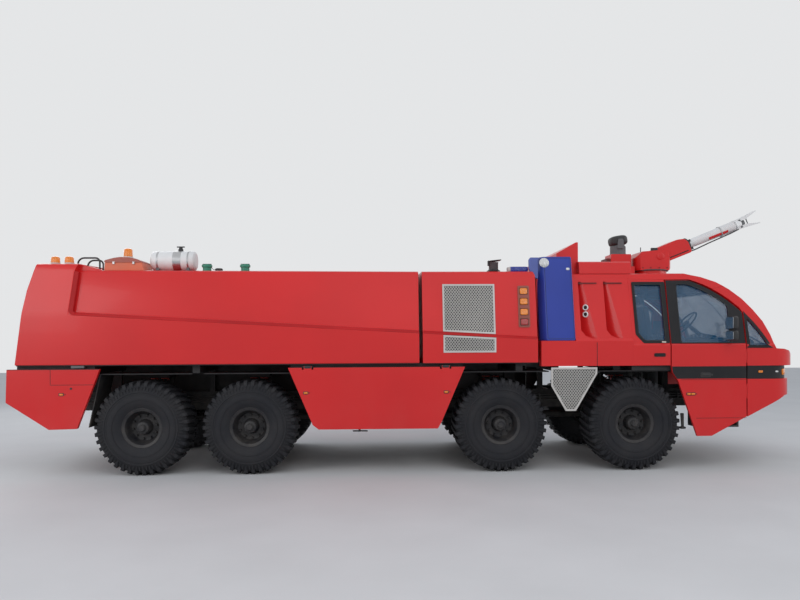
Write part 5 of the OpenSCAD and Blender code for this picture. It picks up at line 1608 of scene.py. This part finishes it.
@dataclass
class Interior:
    """Three padded seats, the dashboard with its wheel, the overhead console and the floor."""

    rear: float = 7.494
    floor: float = 1.49
    rows: tuple[float, ...] = (-0.72, 0.0, 0.72)

    def seat(self, y: float, tag: str) -> None:
        """Makes one seat: pads, shell, pedestal, rails and belt."""
        x, z = self.rear, self.floor
        pad = cushion((x + 0.004, y - 0.226, z + 0.335), (x + 0.476, y + 0.226, z + 0.455), 0.022, 0.010,
                      (y - 0.12, y + 0.12))

        def lean(shape: Shape) -> Shape:
            """Leans what is above the seat pad backwards."""
            return shape.mapped(lambda p: np.column_stack([p[:, 0] - 0.1556 * np.clip(p[:, 2] - (z + 0.45), 0, 1),
                                                           p[:, 1], p[:, 2]]))

        back = lean(cushion((x - 0.122, y - 0.220, z + 0.33), (x - 0.004, y + 0.220, z + 0.892), 0.020, 0.010,
                            (y - 0.12, y + 0.12), 0))
        head = lean(cushion((x - 0.112, y - 0.126, z + 0.905), (x - 0.024, y + 0.126, z + 1.055), 0.012, 0.006, (), 0))
        for word, shape in (("seat_pad", pad), ("seat_back", back), ("head_rest", head)):
            made = piece(f"{word}_{tag}", shape, CHASSIS_BODY, SEAT, ["seats"], angle=60.0)
        shell = lean(prism(round_rectangle((y - 0.215, z + 0.34), (y + 0.215, z + 0.86), 0.05), x - 0.128, x - 0.118, "X"))
        base = brick((x + 0.06, x + 0.40), (y - 0.18, y + 0.18), (z + 0.012, z + 0.20))
        bellows = joined([brick((x + 0.075 + k % 2 * 0.012, x + 0.385 - k % 2 * 0.012),
                                (y - 0.165 + k % 2 * 0.012, y + 0.165 - k % 2 * 0.012),
                                (z + 0.20 + k * 0.018, z + 0.218 + k * 0.018)) for k in range(7)])
        rails = joined([brick((x + 0.02, x + 0.44), (y + d - 0.015, y + d + 0.015), (z, z + 0.014)) for d in (-0.15, 0.15)])
        posts = joined([tube([(x - 0.148, y + d, z + 0.85), (x - 0.152, y + d, z + 0.93)], 0.007, 8) for d in (-0.05, 0.05)])
        belt = lean(joined([prism([(y + 0.205, z + 0.80), (y + 0.165, z + 0.84), (y - 0.215, z + 0.47), (y - 0.195, z + 0.43)],
                                  x + 0.001, x + 0.004, "X")]))
        buckle = pod((x + 0.03, y - 0.262, z + 0.40), (x + 0.06, y - 0.232, z + 0.50), 0.4, 6)
        piece(f"seat_shell_{tag}", shell, CHASSIS_BODY, BLACK, round_edge=0.003)
        piece(f"seat_base_{tag}", joined([base, rails]), CHASSIS_BODY, BLACK, ["seats"], 0.006)
        piece(f"seat_bellows_{tag}", bellows, CHASSIS_BODY, SEAL, round_edge=0.003)
        piece(f"head_rest_posts_{tag}", posts, CHASSIS_BODY, CHROME)
        piece(f"seat_belt_{tag}", joined([belt, buckle]), CHASSIS_BODY, BLACK)

    def dashboard(self) -> None:
        """Makes the dashboard, its instruments and the steering wheel."""
        outline = [(8.562, 1.492), (8.892, 1.492), (8.892, 1.69), (8.822, 1.86), (8.622, 1.90), (8.562, 1.84)]
        body = prism(rounded(outline, 0.02, 3), -1.27, 1.27)
        hood = prism(rounded([(8.585, 1.885), (8.80, 1.865), (8.76, 1.93), (8.625, 1.955)], 0.02, 3), -0.30, 0.30)
        dials = joined([lathe([(0.0, 0.0), (r, 0.0), (r - 0.004, 0.010), (r - 0.008, 0.004), (0.0, 0.004)], 28, axis="X")
                        .turned("Z", 180).moved(8.602, y, 1.918) for r, y in ((0.03, -0.14), (0.03, 0.14), (0.024, 0.0))])
        screens = joined([brick((8.548, 8.562), (y - 0.12, y + 0.12), (1.68, 1.83)) for y in (-0.52, 0.52)])
        keys = joined([brick((8.552, 8.562), (y - 0.012, y + 0.012), (z - 0.009, z + 0.009))
                       for y in np.arange(-1.16, 1.17, 0.05) for z in (1.60, 1.635) if abs(y) > 0.28])
        lever = joined([tube([(8.50, y, 1.66), (8.44, y, 1.72), (8.40, y, 1.80)], 0.010, 10) for y in (0.36, 0.46)])
        knobs = joined([pod((8.375, y - 0.022, 1.785), (8.42, y + 0.022, 1.845), 0.6, 7) for y in (0.36, 0.46)])
        rim = lathe([(0.222 + 0.016 * math.cos(t), 0.013 + 0.013 * math.sin(t)) for t in np.linspace(0, 2 * math.pi, 13)],
                    56, axis="Z")
        spokes = [brick((0.03, 0.215), (-0.014, 0.014), (0.004, 0.016)).turned("Z", a) for a in (0, 120, 240)]
        hub = [pod((-0.055, -0.055, -0.012), (0.055, 0.055, 0.028), 0.5, 8),
               lathe([(0.0, -0.42), (0.034, -0.42), (0.034, -0.02), (0.0, -0.02)], 24, axis="Z")]
        wheel = joined([rim, *spokes, *hub]).turned("Y", -50).moved(8.412, 0.0, 2.13)
        piece("dashboard_body", body, CHASSIS_BODY, GREY, ["dashboard"], 0.006)
        piece("instrument_hood", hood, CHASSIS_BODY, BLACK, round_edge=0.005)
        piece("instrument_dials", dials, CHASSIS_BODY, CHROME)
        piece("dashboard_screens", screens, CHASSIS_BODY, BAND, round_edge=0.003)
        piece("dashboard_keys", joined([keys, lever, knobs]), CHASSIS_BODY, BLACK)
        piece("steering_wheel", wheel, CHASSIS_BODY, BLACK, ["dashboard"], 0.002)

    def build(self) -> None:
        """Makes the inside of the cab."""
        for y, tag in zip(self.rows, ("right", "middle", "left")):
            self.seat(y, tag)
        self.dashboard()
        shelf = joined([prism([(7.909, 2.566), (8.208, 2.566), (8.138, 2.694), (7.909, 2.694)], -0.825, 0.825),
                        *[brick((7.934, 8.034), (y - 0.06, y + 0.06), (2.69, 2.80)) for y in (-0.7, 0.7)]])
        radios = joined([brick((7.90, 7.912), (y - 0.11, y + 0.11), (2.60, 2.66)) for y in (-0.5, -0.2, 0.2, 0.5)])
        piece("overhead_console", shelf, CHASSIS_BODY, GREY, round_edge=0.008)
        piece("overhead_radios", radios, CHASSIS_BODY, BLACK, round_edge=0.003)
        softened("cab_floor", "cab_floor_rubber", CHASSIS_BODY, BLACK, 0.004)
        lining = brick((6.99, 7.49), (-1.20, 1.20), (1.492, 1.50))
        rear = brick((6.972, 6.985), (-1.20, 1.20), (1.50, 2.70))
        piece("cab_rear_lining", joined([lining, rear]), CHASSIS_BODY, GREY, round_edge=0.004)


@dataclass
class Turret:
    """The roof turret: its housing and bearing, the cradle, the barrel and the forked nozzle."""

    centre: float = 7.80
    pivot: tuple[float, float, float] = (7.89, 0.0, 3.215)
    elevation: float = 21.5

    def aimed(self, shape: Shape) -> Shape:
        """Sets a shape drawn along the barrel, X forward from the pivot, at the parked elevation."""
        return shape.turned("Y", -self.elevation).moved(*self.pivot)

    def build(self) -> None:
        """Makes the turret."""
        head, barrel = "turret_head", "turret_barrel"
        x, (px, _, pz) = self.centre, self.pivot
        softened(head, "turret_housing", head, RED, 0.008)
        caps = joined([lathe([(0.0, -0.004), (0.062, -0.004), (0.062, 0.004), (0.054, 0.008), (0.024, 0.008), (0.020, 0.012),
                              (0.0, 0.012)], 32, (px, 0.22, pz), "Y").on(side) for side in Side])
        bolts = joined([lathe([(0.0, 0.0), (0.010, 0.0), (0.010, 0.008), (0.0, 0.008)], 6,
                              (x + dx, 0.22, 3.03), "Y").on(side) for dx in (-0.20, -0.07, 0.07, 0.20) for side in Side])
        ring = lathe([(0.262, 2.980), (0.290, 2.984), (0.290, 2.998), (0.262, 3.004), (0.262, 2.980)], 56, (x, 0, 0), "Z")
        post = joined([tube([(x - 0.18, -0.08, z) for z in (3.29, 3.33, 3.375)], 0.007, 10),
                       brick((x - 0.05, x + 0.05), (-0.212, -0.166), (3.29, 3.352))])
        piece("turret_pivot_caps", caps, head, RED)
        piece("turret_bolts", bolts, head, DARK_RED)
        piece("turret_bearing_ring", ring, head, IRON)
        piece("turret_post_and_stop", post, head, BLACK, round_edge=0.002)
        cradle = prism(rounded([(-0.06, -0.10), (0.10, -0.13), (0.548, -0.13), (0.548, 0.05), (0.50, 0.118), (0.38, 0.148),
                                (0.03, 0.140), (-0.06, 0.10)], 0.035, 4), -0.152, 0.152)
        slot = prism([(0.06, -0.076), (0.50, -0.076), (0.50, -0.092), (0.06, -0.092)], -0.1535, 0.1535)
        collar = lathe([(0.0, 0.54), (0.118, 0.54), (0.118, 0.575), (0.102, 0.59), (0.090, 0.60), (0.0, 0.60)], 40, axis="X")
        bits = joined([brick((0.548, 0.60), (y - 0.022, y + 0.022), (z - 0.02, z + 0.02))
                       for y in (-0.11, 0.11) for z in (-0.075, 0.055)])
        tube_shape = lathe([(0.0, 0.59), (0.066, 0.59), (0.066, 0.66), (0.072, 0.70), (0.076, 1.10), (0.0825, 1.16),
                            (0.0825, 1.40), (0.086, 1.405), (0.086, 1.43), (0.0825, 1.435), (0.0825, 1.50), (0.072, 1.53),
                            (0.060, 1.53), (0.060, 1.48), (0.0, 1.48)], 44, axis="X")
        bands = joined([lathe([(0.06, u), (0.0885, u), (0.0885, u + 0.018), (0.06, u + 0.018), (0.06, u)], 44, axis="X")
                        for u in (1.15, 1.415)])
        near_arc = arc_points((0, 0), 0.0845, 192, 222, 5) + arc_points((0, 0), 0.070, 222, 192, 5)
        strip = prism(near_arc, 0.93, 1.27, "X")
        blades = joined([prism(rounded([(1.40, s * 0.030), (1.40, s * 0.0785), (1.56, s * 0.0865), (1.834, s * 0.110),
                                        (1.835, s * 0.099), (1.62, s * 0.040)], 0.006, 2), -0.058, 0.058) for s in (1, -1)])
        mouth = lathe([(0.0, 1.44), (0.052, 1.44), (0.052, 1.56), (0.044, 1.60), (0.036, 1.60), (0.036, 1.54), (0.0, 1.54)],
                      32, axis="X")
        clamps = joined([brick((1.50, 1.53), (-0.066, 0.066), (-0.07, 0.07)),
                         tube([(1.52, -0.07, 0.0), (1.52, 0.07, 0.0)], 0.014, 12),
                         tube([(1.66, 0.0, -0.048), (1.66, 0.0, 0.048)], 0.008, 10)])
        line = tube([(0.52, -0.12, -0.11), (0.62, -0.105, -0.115), (0.9, -0.085, -0.10), (1.3, -0.075, -0.088),
                     (1.46, -0.05, -0.075)], 0.010, 10)
        piece("turret_cradle", self.aimed(cradle), barrel, RED, ["turret_barrel"], 0.006)
        piece("cradle_slot", self.aimed(slot), barrel, SEAL)
        piece("cradle_collar", self.aimed(joined([collar, bits])), barrel, BLACK, round_edge=0.003)
        piece("barrel_tube", self.aimed(tube_shape), barrel, WHITE, ["turret_barrel"])
        piece("barrel_bands", self.aimed(bands), barrel, STEEL)
        piece("barrel_red_strip", self.aimed(strip), barrel, RED)
        piece("nozzle_blades", self.aimed(blades), barrel, WHITE, ["turret_barrel"], 0.003)
        piece("nozzle_mouth", self.aimed(joined([mouth, clamps])), barrel, GREY)
        piece("barrel_hydraulic_line", self.aimed(line), barrel, BLACK)


@dataclass
class RoofGear:
    """Everything on the roofs: beacons, hoops, hatch housing, drum, caps, exhaust, thermal camera."""

    def beacon(self, x: float, y: float, z: float, top: float) -> tuple[Shape, Shape]:
        """The pale base and the amber dome of a beacon."""
        foot = lathe([(0.0, z), (0.070, z), (0.070, z + 0.026), (0.064, z + 0.034), (0.0, z + 0.034)], 36, (x, y, 0), "Z")
        dome = lathe([(0.0, z + 0.03), (0.062, z + 0.03), (0.064, z + 0.05), (0.060, top - 0.022), (0.050, top - 0.008),
                      (0.028, top), (0.0, top)], 36, (x, y, 0), "Z")
        return foot, dome

    def build(self) -> None:
        """Makes all roof fittings."""
        beacons = [self.beacon(x, -1.17, 2.978, 3.104) for x in (-1.299, -1.104)] + [self.beacon(-0.321, -1.03, 3.080, 3.236)]
        piece("beacon_feet", joined([foot for foot, _ in beacons]), CHASSIS_BODY, PALE_FRAME, ["amber_lamps"])
        piece("beacon_domes", joined([dome for _, dome in beacons]), CHASSIS_BODY, AMBER, ["amber_lamps"])
        hoops = []
        for x, end, top in ((-1.000, -0.690, 3.088), (-0.860, -0.640, 3.052)):
            path = [(x, 2.86), (x, top - 0.09), *arc_points((x + 0.09, top - 0.09), 0.09, 170, 90, 5),
                    *arc_points((end - 0.06, top - 0.06), 0.06, 90, 0, 4), (end, 2.86)]
            hoops.append(tube([(a, -1.13, b) for a, b in path], 0.0125, 12))
        piece("grab_hoops", joined(hoops), CHASSIS_BODY, BLACK, ["roof_fittings"])
        self.hatch_housing()
        self.drum()
        caps = [lathe([(0.0, 2.868), (0.060, 2.868), (0.060, 2.93), (0.074, 2.936), (0.075, 2.962), (0.066, 2.972), (0.0, 2.972)],
                      36, (x, -1.07, 0), "Z") for x in (0.828, 1.380)]
        bars = [brick((x - 0.062, x + 0.062), (-1.082, -1.058), (2.970, 2.984)) for x in (0.828, 1.380)]
        dark = lathe([(0.0, 2.868), (0.055, 2.868), (0.055, 2.906), (0.046, 2.917), (0.0, 2.917)], 32, (1.000, -1.07, 0), "Z")
        chain = tube([(0.89, -1.07, 2.93), (0.93, -1.09, 2.895), (0.96, -1.08, 2.905)], 0.004, 6)
        piece("filler_caps", joined(caps).moved(z=0.022), CHASSIS_BODY, GREEN, ["roof_fittings"])
        piece("filler_cap_bars", joined([*bars, dark, chain]).moved(z=0.022), CHASSIS_BODY, BLACK, ["roof_fittings"])
        self.exhaust()
        self.camera_head()

    def hatch_housing(self) -> None:
        """The low orange-red hatch housing with its domed lid and pale rear end."""
        shell = prism([(-0.590, 2.86), (-0.575, 3.02), (-0.063, 3.02), (-0.014, 2.86)], -1.24, -0.82)
        end = pod((-0.602, -1.236, 2.86), (-0.545, -0.824, 3.018), 0.4, 8)
        lid = prism(rounded([(-0.585, 3.012), (-0.580, 3.040), (-0.45, 3.075), (-0.36, 3.088), (-0.24, 3.084), (-0.13, 3.062),
                             (-0.06, 3.028), (-0.055, 3.012)], 0.02, 3), -1.252, -0.808)
        clips = joined([brick((x - 0.014, x + 0.014), (-1.256, -1.238), (2.985, 3.022)) for x in (-0.45, -0.17)])
        piece("hatch_housing", shell, CHASSIS_BODY, COPPER, ["roof_fittings"], 0.006)
        piece("hatch_housing_end", end, CHASSIS_BODY, PALE_FRAME)
        piece("hatch_housing_lid", lid, CHASSIS_BODY, LID_RED, round_edge=0.004)
        piece("hatch_housing_clips", clips, CHASSIS_BODY, STEEL, round_edge=0.002)

    def drum(self) -> None:
        """The white drum on its saddles with a steel band and a black valve."""
        shift = -0.148
        ends = [(0.0, 0.151), (0.085, 0.152), (0.118, 0.160), (0.138, 0.178), (0.145, 0.205), (0.145, 0.75), (0.138, 0.778),
                (0.118, 0.794), (0.085, 0.801), (0.0, 0.801)]
        band = [(0.143, 0.481), (0.150, 0.484), (0.150, 0.598), (0.143, 0.601), (0.143, 0.481)]
        place = (shift, -0.97, 3.026)
        straps = [lathe([(0.143, x), (0.1485, x), (0.1485, x + 0.022), (0.143, x + 0.022), (0.143, x)], 48, place, "X")
                  for x in (0.25, 0.69)]
        valve = [lathe([(0.0, 3.166), (0.036, 3.166), (0.036, 3.20), (0.026, 3.21), (0.026, 3.232), (0.0, 3.232)], 24,
                       (0.571 + shift, -0.97, 0), "Z"),
                 tube([(0.515 + shift, -0.97, 3.236), (0.571 + shift, -0.97, 3.236), (0.627 + shift, -0.97, 3.236)], 0.009, 10)]
        saddles = [prism(rounded([(-1.09, 2.84), (-0.85, 2.84), (-0.87, 2.955), (-1.07, 2.955)], 0.01, 2), x + shift,
                         x + shift + 0.04, "X") for x in (0.241, 0.681)]
        for word, shape, finish, edge in (("", lathe(ends, 56, place, "X"), WHITE, 0.0),
                                          ("_band", joined([lathe(band, 56, place, "X"), *straps]), STEEL, 0.0),
                                          ("_valve", joined(valve), BLACK, 0.0), ("_saddles", joined(saddles), GREY, 0.003)):
            piece(f"roof_drum{word}", shape.moved(z=0.03), CHASSIS_BODY, finish, ["roof_fittings"], edge)

    def exhaust(self) -> None:
        """The exhaust stack with its flange, heat collar and rain flap."""
        place = (5.039, -1.0, 0)
        pipe = lathe([(0.060, 2.68), (0.069, 2.68), (0.069, 3.012), (0.072, 3.018), (0.072, 3.030), (0.060, 3.030), (0.060, 2.68)],
                     44, place, "Z")
        collar = lathe([(0.070, 2.893), (0.100, 2.896), (0.100, 2.904), (0.078, 2.914), (0.070, 2.93), (0.070, 2.893)], 44, place, "Z")
        flap = pod((-0.094, -0.10, -0.006), (0.094, 0.10, 0.007), 0.35, 7).turned("Y", -6).moved(5.054, -1.0, 3.052)
        hinge = joined([brick((4.954, 4.975), (-1.03, -0.97), (2.98, 3.046)), tube([(4.962, -1.04, 3.046), (4.962, -0.96, 3.046)], 0.009, 10)])
        piece("exhaust_pipe", pipe, CHASSIS_BODY, IRON, ["exhaust_stack"])
        piece("exhaust_collar", collar, CHASSIS_BODY, BLACK)
        piece("exhaust_flap", joined([flap, hinge]), CHASSIS_BODY, BLACK, ["exhaust_stack"])

    def camera_head(self) -> None:
        """The thermal camera on its red plinth: yoke, ball housing, dark window and feet."""
        x, low, top = 7.271, 3.258, 3.410
        plinth = prism(rounded([(x - 0.177, 3.050), (x + 0.173, 3.050), (x + 0.166, low), (x - 0.162, low)], 0.012, 3), -0.148, 0.148)
        neck = lathe([(0.0, low), (0.130, low), (0.132, low + 0.012), (0.124, low + 0.022), (0.124, top - 0.02), (0.112, top),
                      (0.0, top)], 40, (x, 0, 0), "Z")
        yoke = joined([prism(rounded([(x - 0.06, top - 0.06), (x + 0.06, top - 0.06), (x + 0.04, top + 0.10), (x - 0.04, top + 0.10)],
                                     0.02, 3), y - 0.008, y + 0.008) for y in (-0.138, 0.138)])
        ball = pod((x - 0.145, -0.132, top - 0.008), (x + 0.143, 0.132, top + 0.165), 0.62, 12).turned("Y", -9, (x, 0, top + 0.08))
        window = lathe([(0.0, 0.0), (0.050, 0.0), (0.046, 0.008), (0.0, 0.012)], 32, axis="X").turned("Y", -9).moved(
            x + 0.136, 0.0, top + 0.098)
        feet = joined([brick((x + dx - 0.02, x + dx + 0.02), (y - 0.02, y + 0.02), (3.045, 3.058))
                       for dx in (-0.155, 0.15) for y in (-0.162, 0.162)])
        step = brick((x - 0.235, x - 0.176), (-0.146, 0.146), (3.045, 3.190))
        piece("camera_plinth", plinth, CHASSIS_BODY, RED, ["thermal_camera"], 0.005)
        piece("camera_neck", joined([neck, yoke]), CHASSIS_BODY, GREY, ["thermal_camera"], 0.003)
        piece("camera_ball", ball, CHASSIS_BODY, BLACK, ["thermal_camera"])
        piece("camera_window", window, CHASSIS_BODY, BAND)
        piece("camera_feet", feet, CHASSIS_BODY, BLACK, round_edge=0.003)
        piece("camera_step", step, CHASSIS_BODY, DARK_RED, round_edge=0.006)


@dataclass
class RunningGear:
    """Coil springs round dampers, arms, shafts, frame, tanks with straps, pipes and mudguards."""

    axles: dict[int, float]
    spring_y: float = 0.60
    spring_low: float = 0.835
    spring_high: float = 1.33

    def springs(self) -> None:
        """Makes the sixteen coil springs with their dampers and seats."""
        coils, dampers = [], []
        rise = self.spring_high - self.spring_low
        for x0 in self.axles.values():
            for dx in (-0.075, 0.075):
                place = (x0 + dx, self.spring_y, self.spring_low + 0.012)
                coils.append(helix(place, 0.056, rise - 0.024, 6.5, 0.0095, 14))
                dampers.append(lathe([(0.0, 0.0), (0.058, 0.0), (0.064, 0.008), (0.030, 0.014), (0.030, 0.24), (0.018, 0.25),
                                      (0.018, rise - 0.02), (0.064, rise - 0.010), (0.058, rise), (0.0, rise)], 20,
                                     (x0 + dx, self.spring_y, self.spring_low), "Z"))
        for side in Side:
            piece(f"coil_springs_{side.word}", joined(coils).on(side), CHASSIS_BODY, SPRING, ["springs"])
            piece(f"dampers_{side.word}", joined(dampers).on(side), CHASSIS_BODY, CHASSIS, ["springs"])

    def build(self) -> None:
        """Makes and dresses the running gear."""
        self.springs()
        for node, name, edge in (("frame", "ladder_frame", 0.004), ("suspension_arms", "suspension_arm_castings", 0.006),
                                 ("drive_shafts", "drive_shaft_housings", 0.006), ("tow_jaws", "tow_jaw_castings", 0.005),
                                 ("mudguards", "mudguard_rubbers", 0.003)):
            softened(node, name, CHASSIS_BODY, CHASSIS, edge)
        for axle in (1, 2):
            for side in Side:
                node = f"knuckle_{axle}_{side.word}"
                softened(node, f"{node}_casting", node, CHASSIS, 0.005)
        dress("engine_block", IRON)
        straps = [lathe([(0.188, x), (0.196, x), (0.196, x + 0.04), (0.188, x + 0.04), (0.188, x)], 48, (0, 0.71, 0.84), "X")
                  for x in (2.80, 3.72)]
        drain = [lathe([(0.0, 0.0), (0.016, 0.0), (0.016, 0.02), (0.0, 0.02)], 6, (3.3, 0.71, 0.632), "Z")]
        pipes = [tube([(x0, y, z) for x0 in np.linspace(-1.4, 8.4, 30)], 0.011, 8)
                 for y, z in ((0.462, 1.02), (0.462, 0.985), (0.465, 0.94))]
        clips = [brick((x - 0.012, x + 0.012), (0.450, 0.482), (0.925, 1.035)) for x in np.arange(-1.3, 8.4, 0.55)]
        ends = [lathe([(0.0, x), (0.12, x), (0.165, x + d * 0.4), (0.188, x + d), (0.0, x + d)], 40, (0, 0.71, 0.84), "X")
                for x, d in ((2.448, 0.03),)]
        bracket = prism(rounded([(7.715, 0.60), (7.745, 0.60), (7.745, 0.80), (7.70, 0.80)], 0.008, 2), 1.33, 1.36)
        foot = pod((7.69, 1.30, 0.572), (7.77, 1.38, 0.606), 0.4, 6)
        holder = joined([brick((3.03, 3.06), (1.40, 1.43), (0.585, 0.66)), tube([(2.95, 1.41, 0.595), (3.16, 1.41, 0.595)], 0.010, 8)])
        shields = joined([brick((-1.58, 3.88), (0.27, 0.285), (1.08, 1.562)), brick((3.96, 5.50), (0.27, 0.285), (1.10, 1.60))])
        for side in Side:
            w = side.word
            piece(f"underbody_shield_{w}", shields.on(side), CHASSIS_BODY, SEAL)
            piece(f"air_tank_straps_{w}", joined([*straps, *drain, *ends]).on(side), CHASSIS_BODY, CHASSIS)
            piece(f"frame_pipes_{w}", joined([*pipes, *clips]).on(side), CHASSIS_BODY, BLACK)
            piece(f"step_bracket_{w}", joined([bracket, foot]).on(side), CHASSIS_BODY, BLACK, round_edge=0.003)
            piece(f"skirt_stay_{w}", holder.on(side), CHASSIS_BODY, BLACK)


@dataclass
class Tail:
    """The rear end: ladder, lamps, hatch seams, handles, blank plate and the skirts' black edges."""

    edge: tuple[tuple[float, float], ...] = TankBody.rear_edge

    def on_rear(self, shape: Shape) -> Shape:
        """Lays a shape on the bent rear face: its X goes across, its Y is the distance out of the face."""
        heights, stations = np.array(self.edge).T
        return outward(shape.mapped(lambda p: np.column_stack([np.interp(p[:, 2], heights, stations) - p[:, 1], p[:, 0], p[:, 2]])))

    def build(self) -> None:
        """Makes the rear end's fittings."""
        door = self.on_rear(border(rounded([(-0.80, 1.63), (0.80, 1.63), (0.80, 2.56), (-0.80, 2.56)], 0.06, 4), 0.008, -0.004, 0.0015))
        lockers = [self.on_rear(border(rounded([(a, 1.66), (b, 1.66), (b, 2.30), (a, 2.30)], 0.04, 4), 0.006, -0.004, 0.0015))
                   for a, b in ((-1.40, -0.90), (0.90, 1.40))]
        handles = [self.on_rear(pod((x - 0.09, -0.002, z - 0.03), (x + 0.09, 0.018, z + 0.03), 0.35, 8))
                   for x, z in ((0.0, 1.72), (-1.15, 1.98), (1.15, 1.98))]
        vents = [self.on_rear(brick((-0.55, 0.55), (-0.004, 0.006), (z, z + 0.012))) for z in np.arange(2.28, 2.50, 0.03)]
        piece("rear_hatch_seams", joined([door, *lockers]), CHASSIS_BODY, DARK_RED)
        piece("rear_hatch_handles", joined(handles), CHASSIS_BODY, BLACK)
        # The vent slats are drawn in the darker red that paints shade.
        piece("rear_vent_slats", joined(vents), CHASSIS_BODY, PAINTED_SHADE_RED)
        lights = [self.on_rear(pod((x - 0.12, -0.004, 2.66), (x + 0.12, 0.028, 2.75), 0.35, 8)) for x in (-1.0, 1.0)]
        piece("rear_blue_lamps", joined(lights), CHASSIS_BODY, BLUE_LENS)
        rails = [tube([(-1.674, y, z) for z in (0.90, 1.1, 1.3, 1.545)], 0.019, 14) for y in (0.64, 1.02)]
        rungs = [tube([(-1.674, 0.64, z), (-1.674, 1.02, z)], 0.014, 12) for z in (0.995, 1.245, 1.495)]
        treads = [brick((-1.700, -1.662), (0.665, 0.995), (z + 0.010, z + 0.016)) for z in (0.995, 1.245, 1.495)]
        piece("rear_ladder_tubes", joined([*rails, *rungs, *treads]), CHASSIS_BODY, STEEL, ["rear_ladder"])
        box = [brick((-1.820, -1.782), (1.14, 1.4395), (1.302, 1.438))]
        lenses = {"red": (1.34, 1.43), "amber": (1.245, 1.335), "clear": (1.15, 1.24)}
        for side in Side:
            w = side.word
            piece(f"rear_lamp_box_{w}", joined(box).on(side), CHASSIS_BODY, BLACK, ["rear_lamps"], 0.004)
            for (word, (a, b)), finish in zip(lenses.items(), (RED_LENS, AMBER, CLEAR_LENS)):
                lens = pod((-1.829, a + 0.004, 1.312), (-1.815, b - 0.004, 1.428), 0.3, 7)
                piece(f"rear_{word}_lens_{w}", lens.on(side), CHASSIS_BODY, finish, ["rear_lamps"])
            rim = [brick((-1.822, -0.56), (1.4975, 1.5018), (1.4925, 1.4995))]
            piece(f"tail_skirt_edges_{w}", joined(rim).on(side), CHASSIS_BODY, SEAL)
        plate = self.on_rear(brick((-0.26, 0.26), (0.001, 0.010), (1.575, 1.615)))
        piece("blank_rear_plate", plate, CHASSIS_BODY, WHITE, round_edge=0.002)


def main() -> None:
    """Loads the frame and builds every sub-assembly."""
    logging.basicConfig(level=logging.INFO, format="%(name)s: %(message)s")
    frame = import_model()
    axles = {i: sum(c.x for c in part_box(f"rim_{i}_right")) / 2 - rear_axle() for i in range(1, 5)}
    wheel_low, wheel_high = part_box("rim_1_left")
    cab = Cab()
    Studio().build()
    WheelSet((wheel_low.y + wheel_high.y) / 2, (wheel_low.z + wheel_high.z) / 2, axles).build()
    for assembly in (Coachwork(), TankBody(), Skirts(), Grilles(), CornerLamps(), cab, DoorSet(cab), Mirrors(), FrontEnd(),
                     Interior(), Turret(), RoofGear(), RunningGear(axles), Tail()):
        assembly.build()
        LOG.info("built %s", type(assembly).__name__)
    LOG.info("frame with %d nodes dressed", len(frame["nodes"]))


if __name__ == "__main__":
    main()
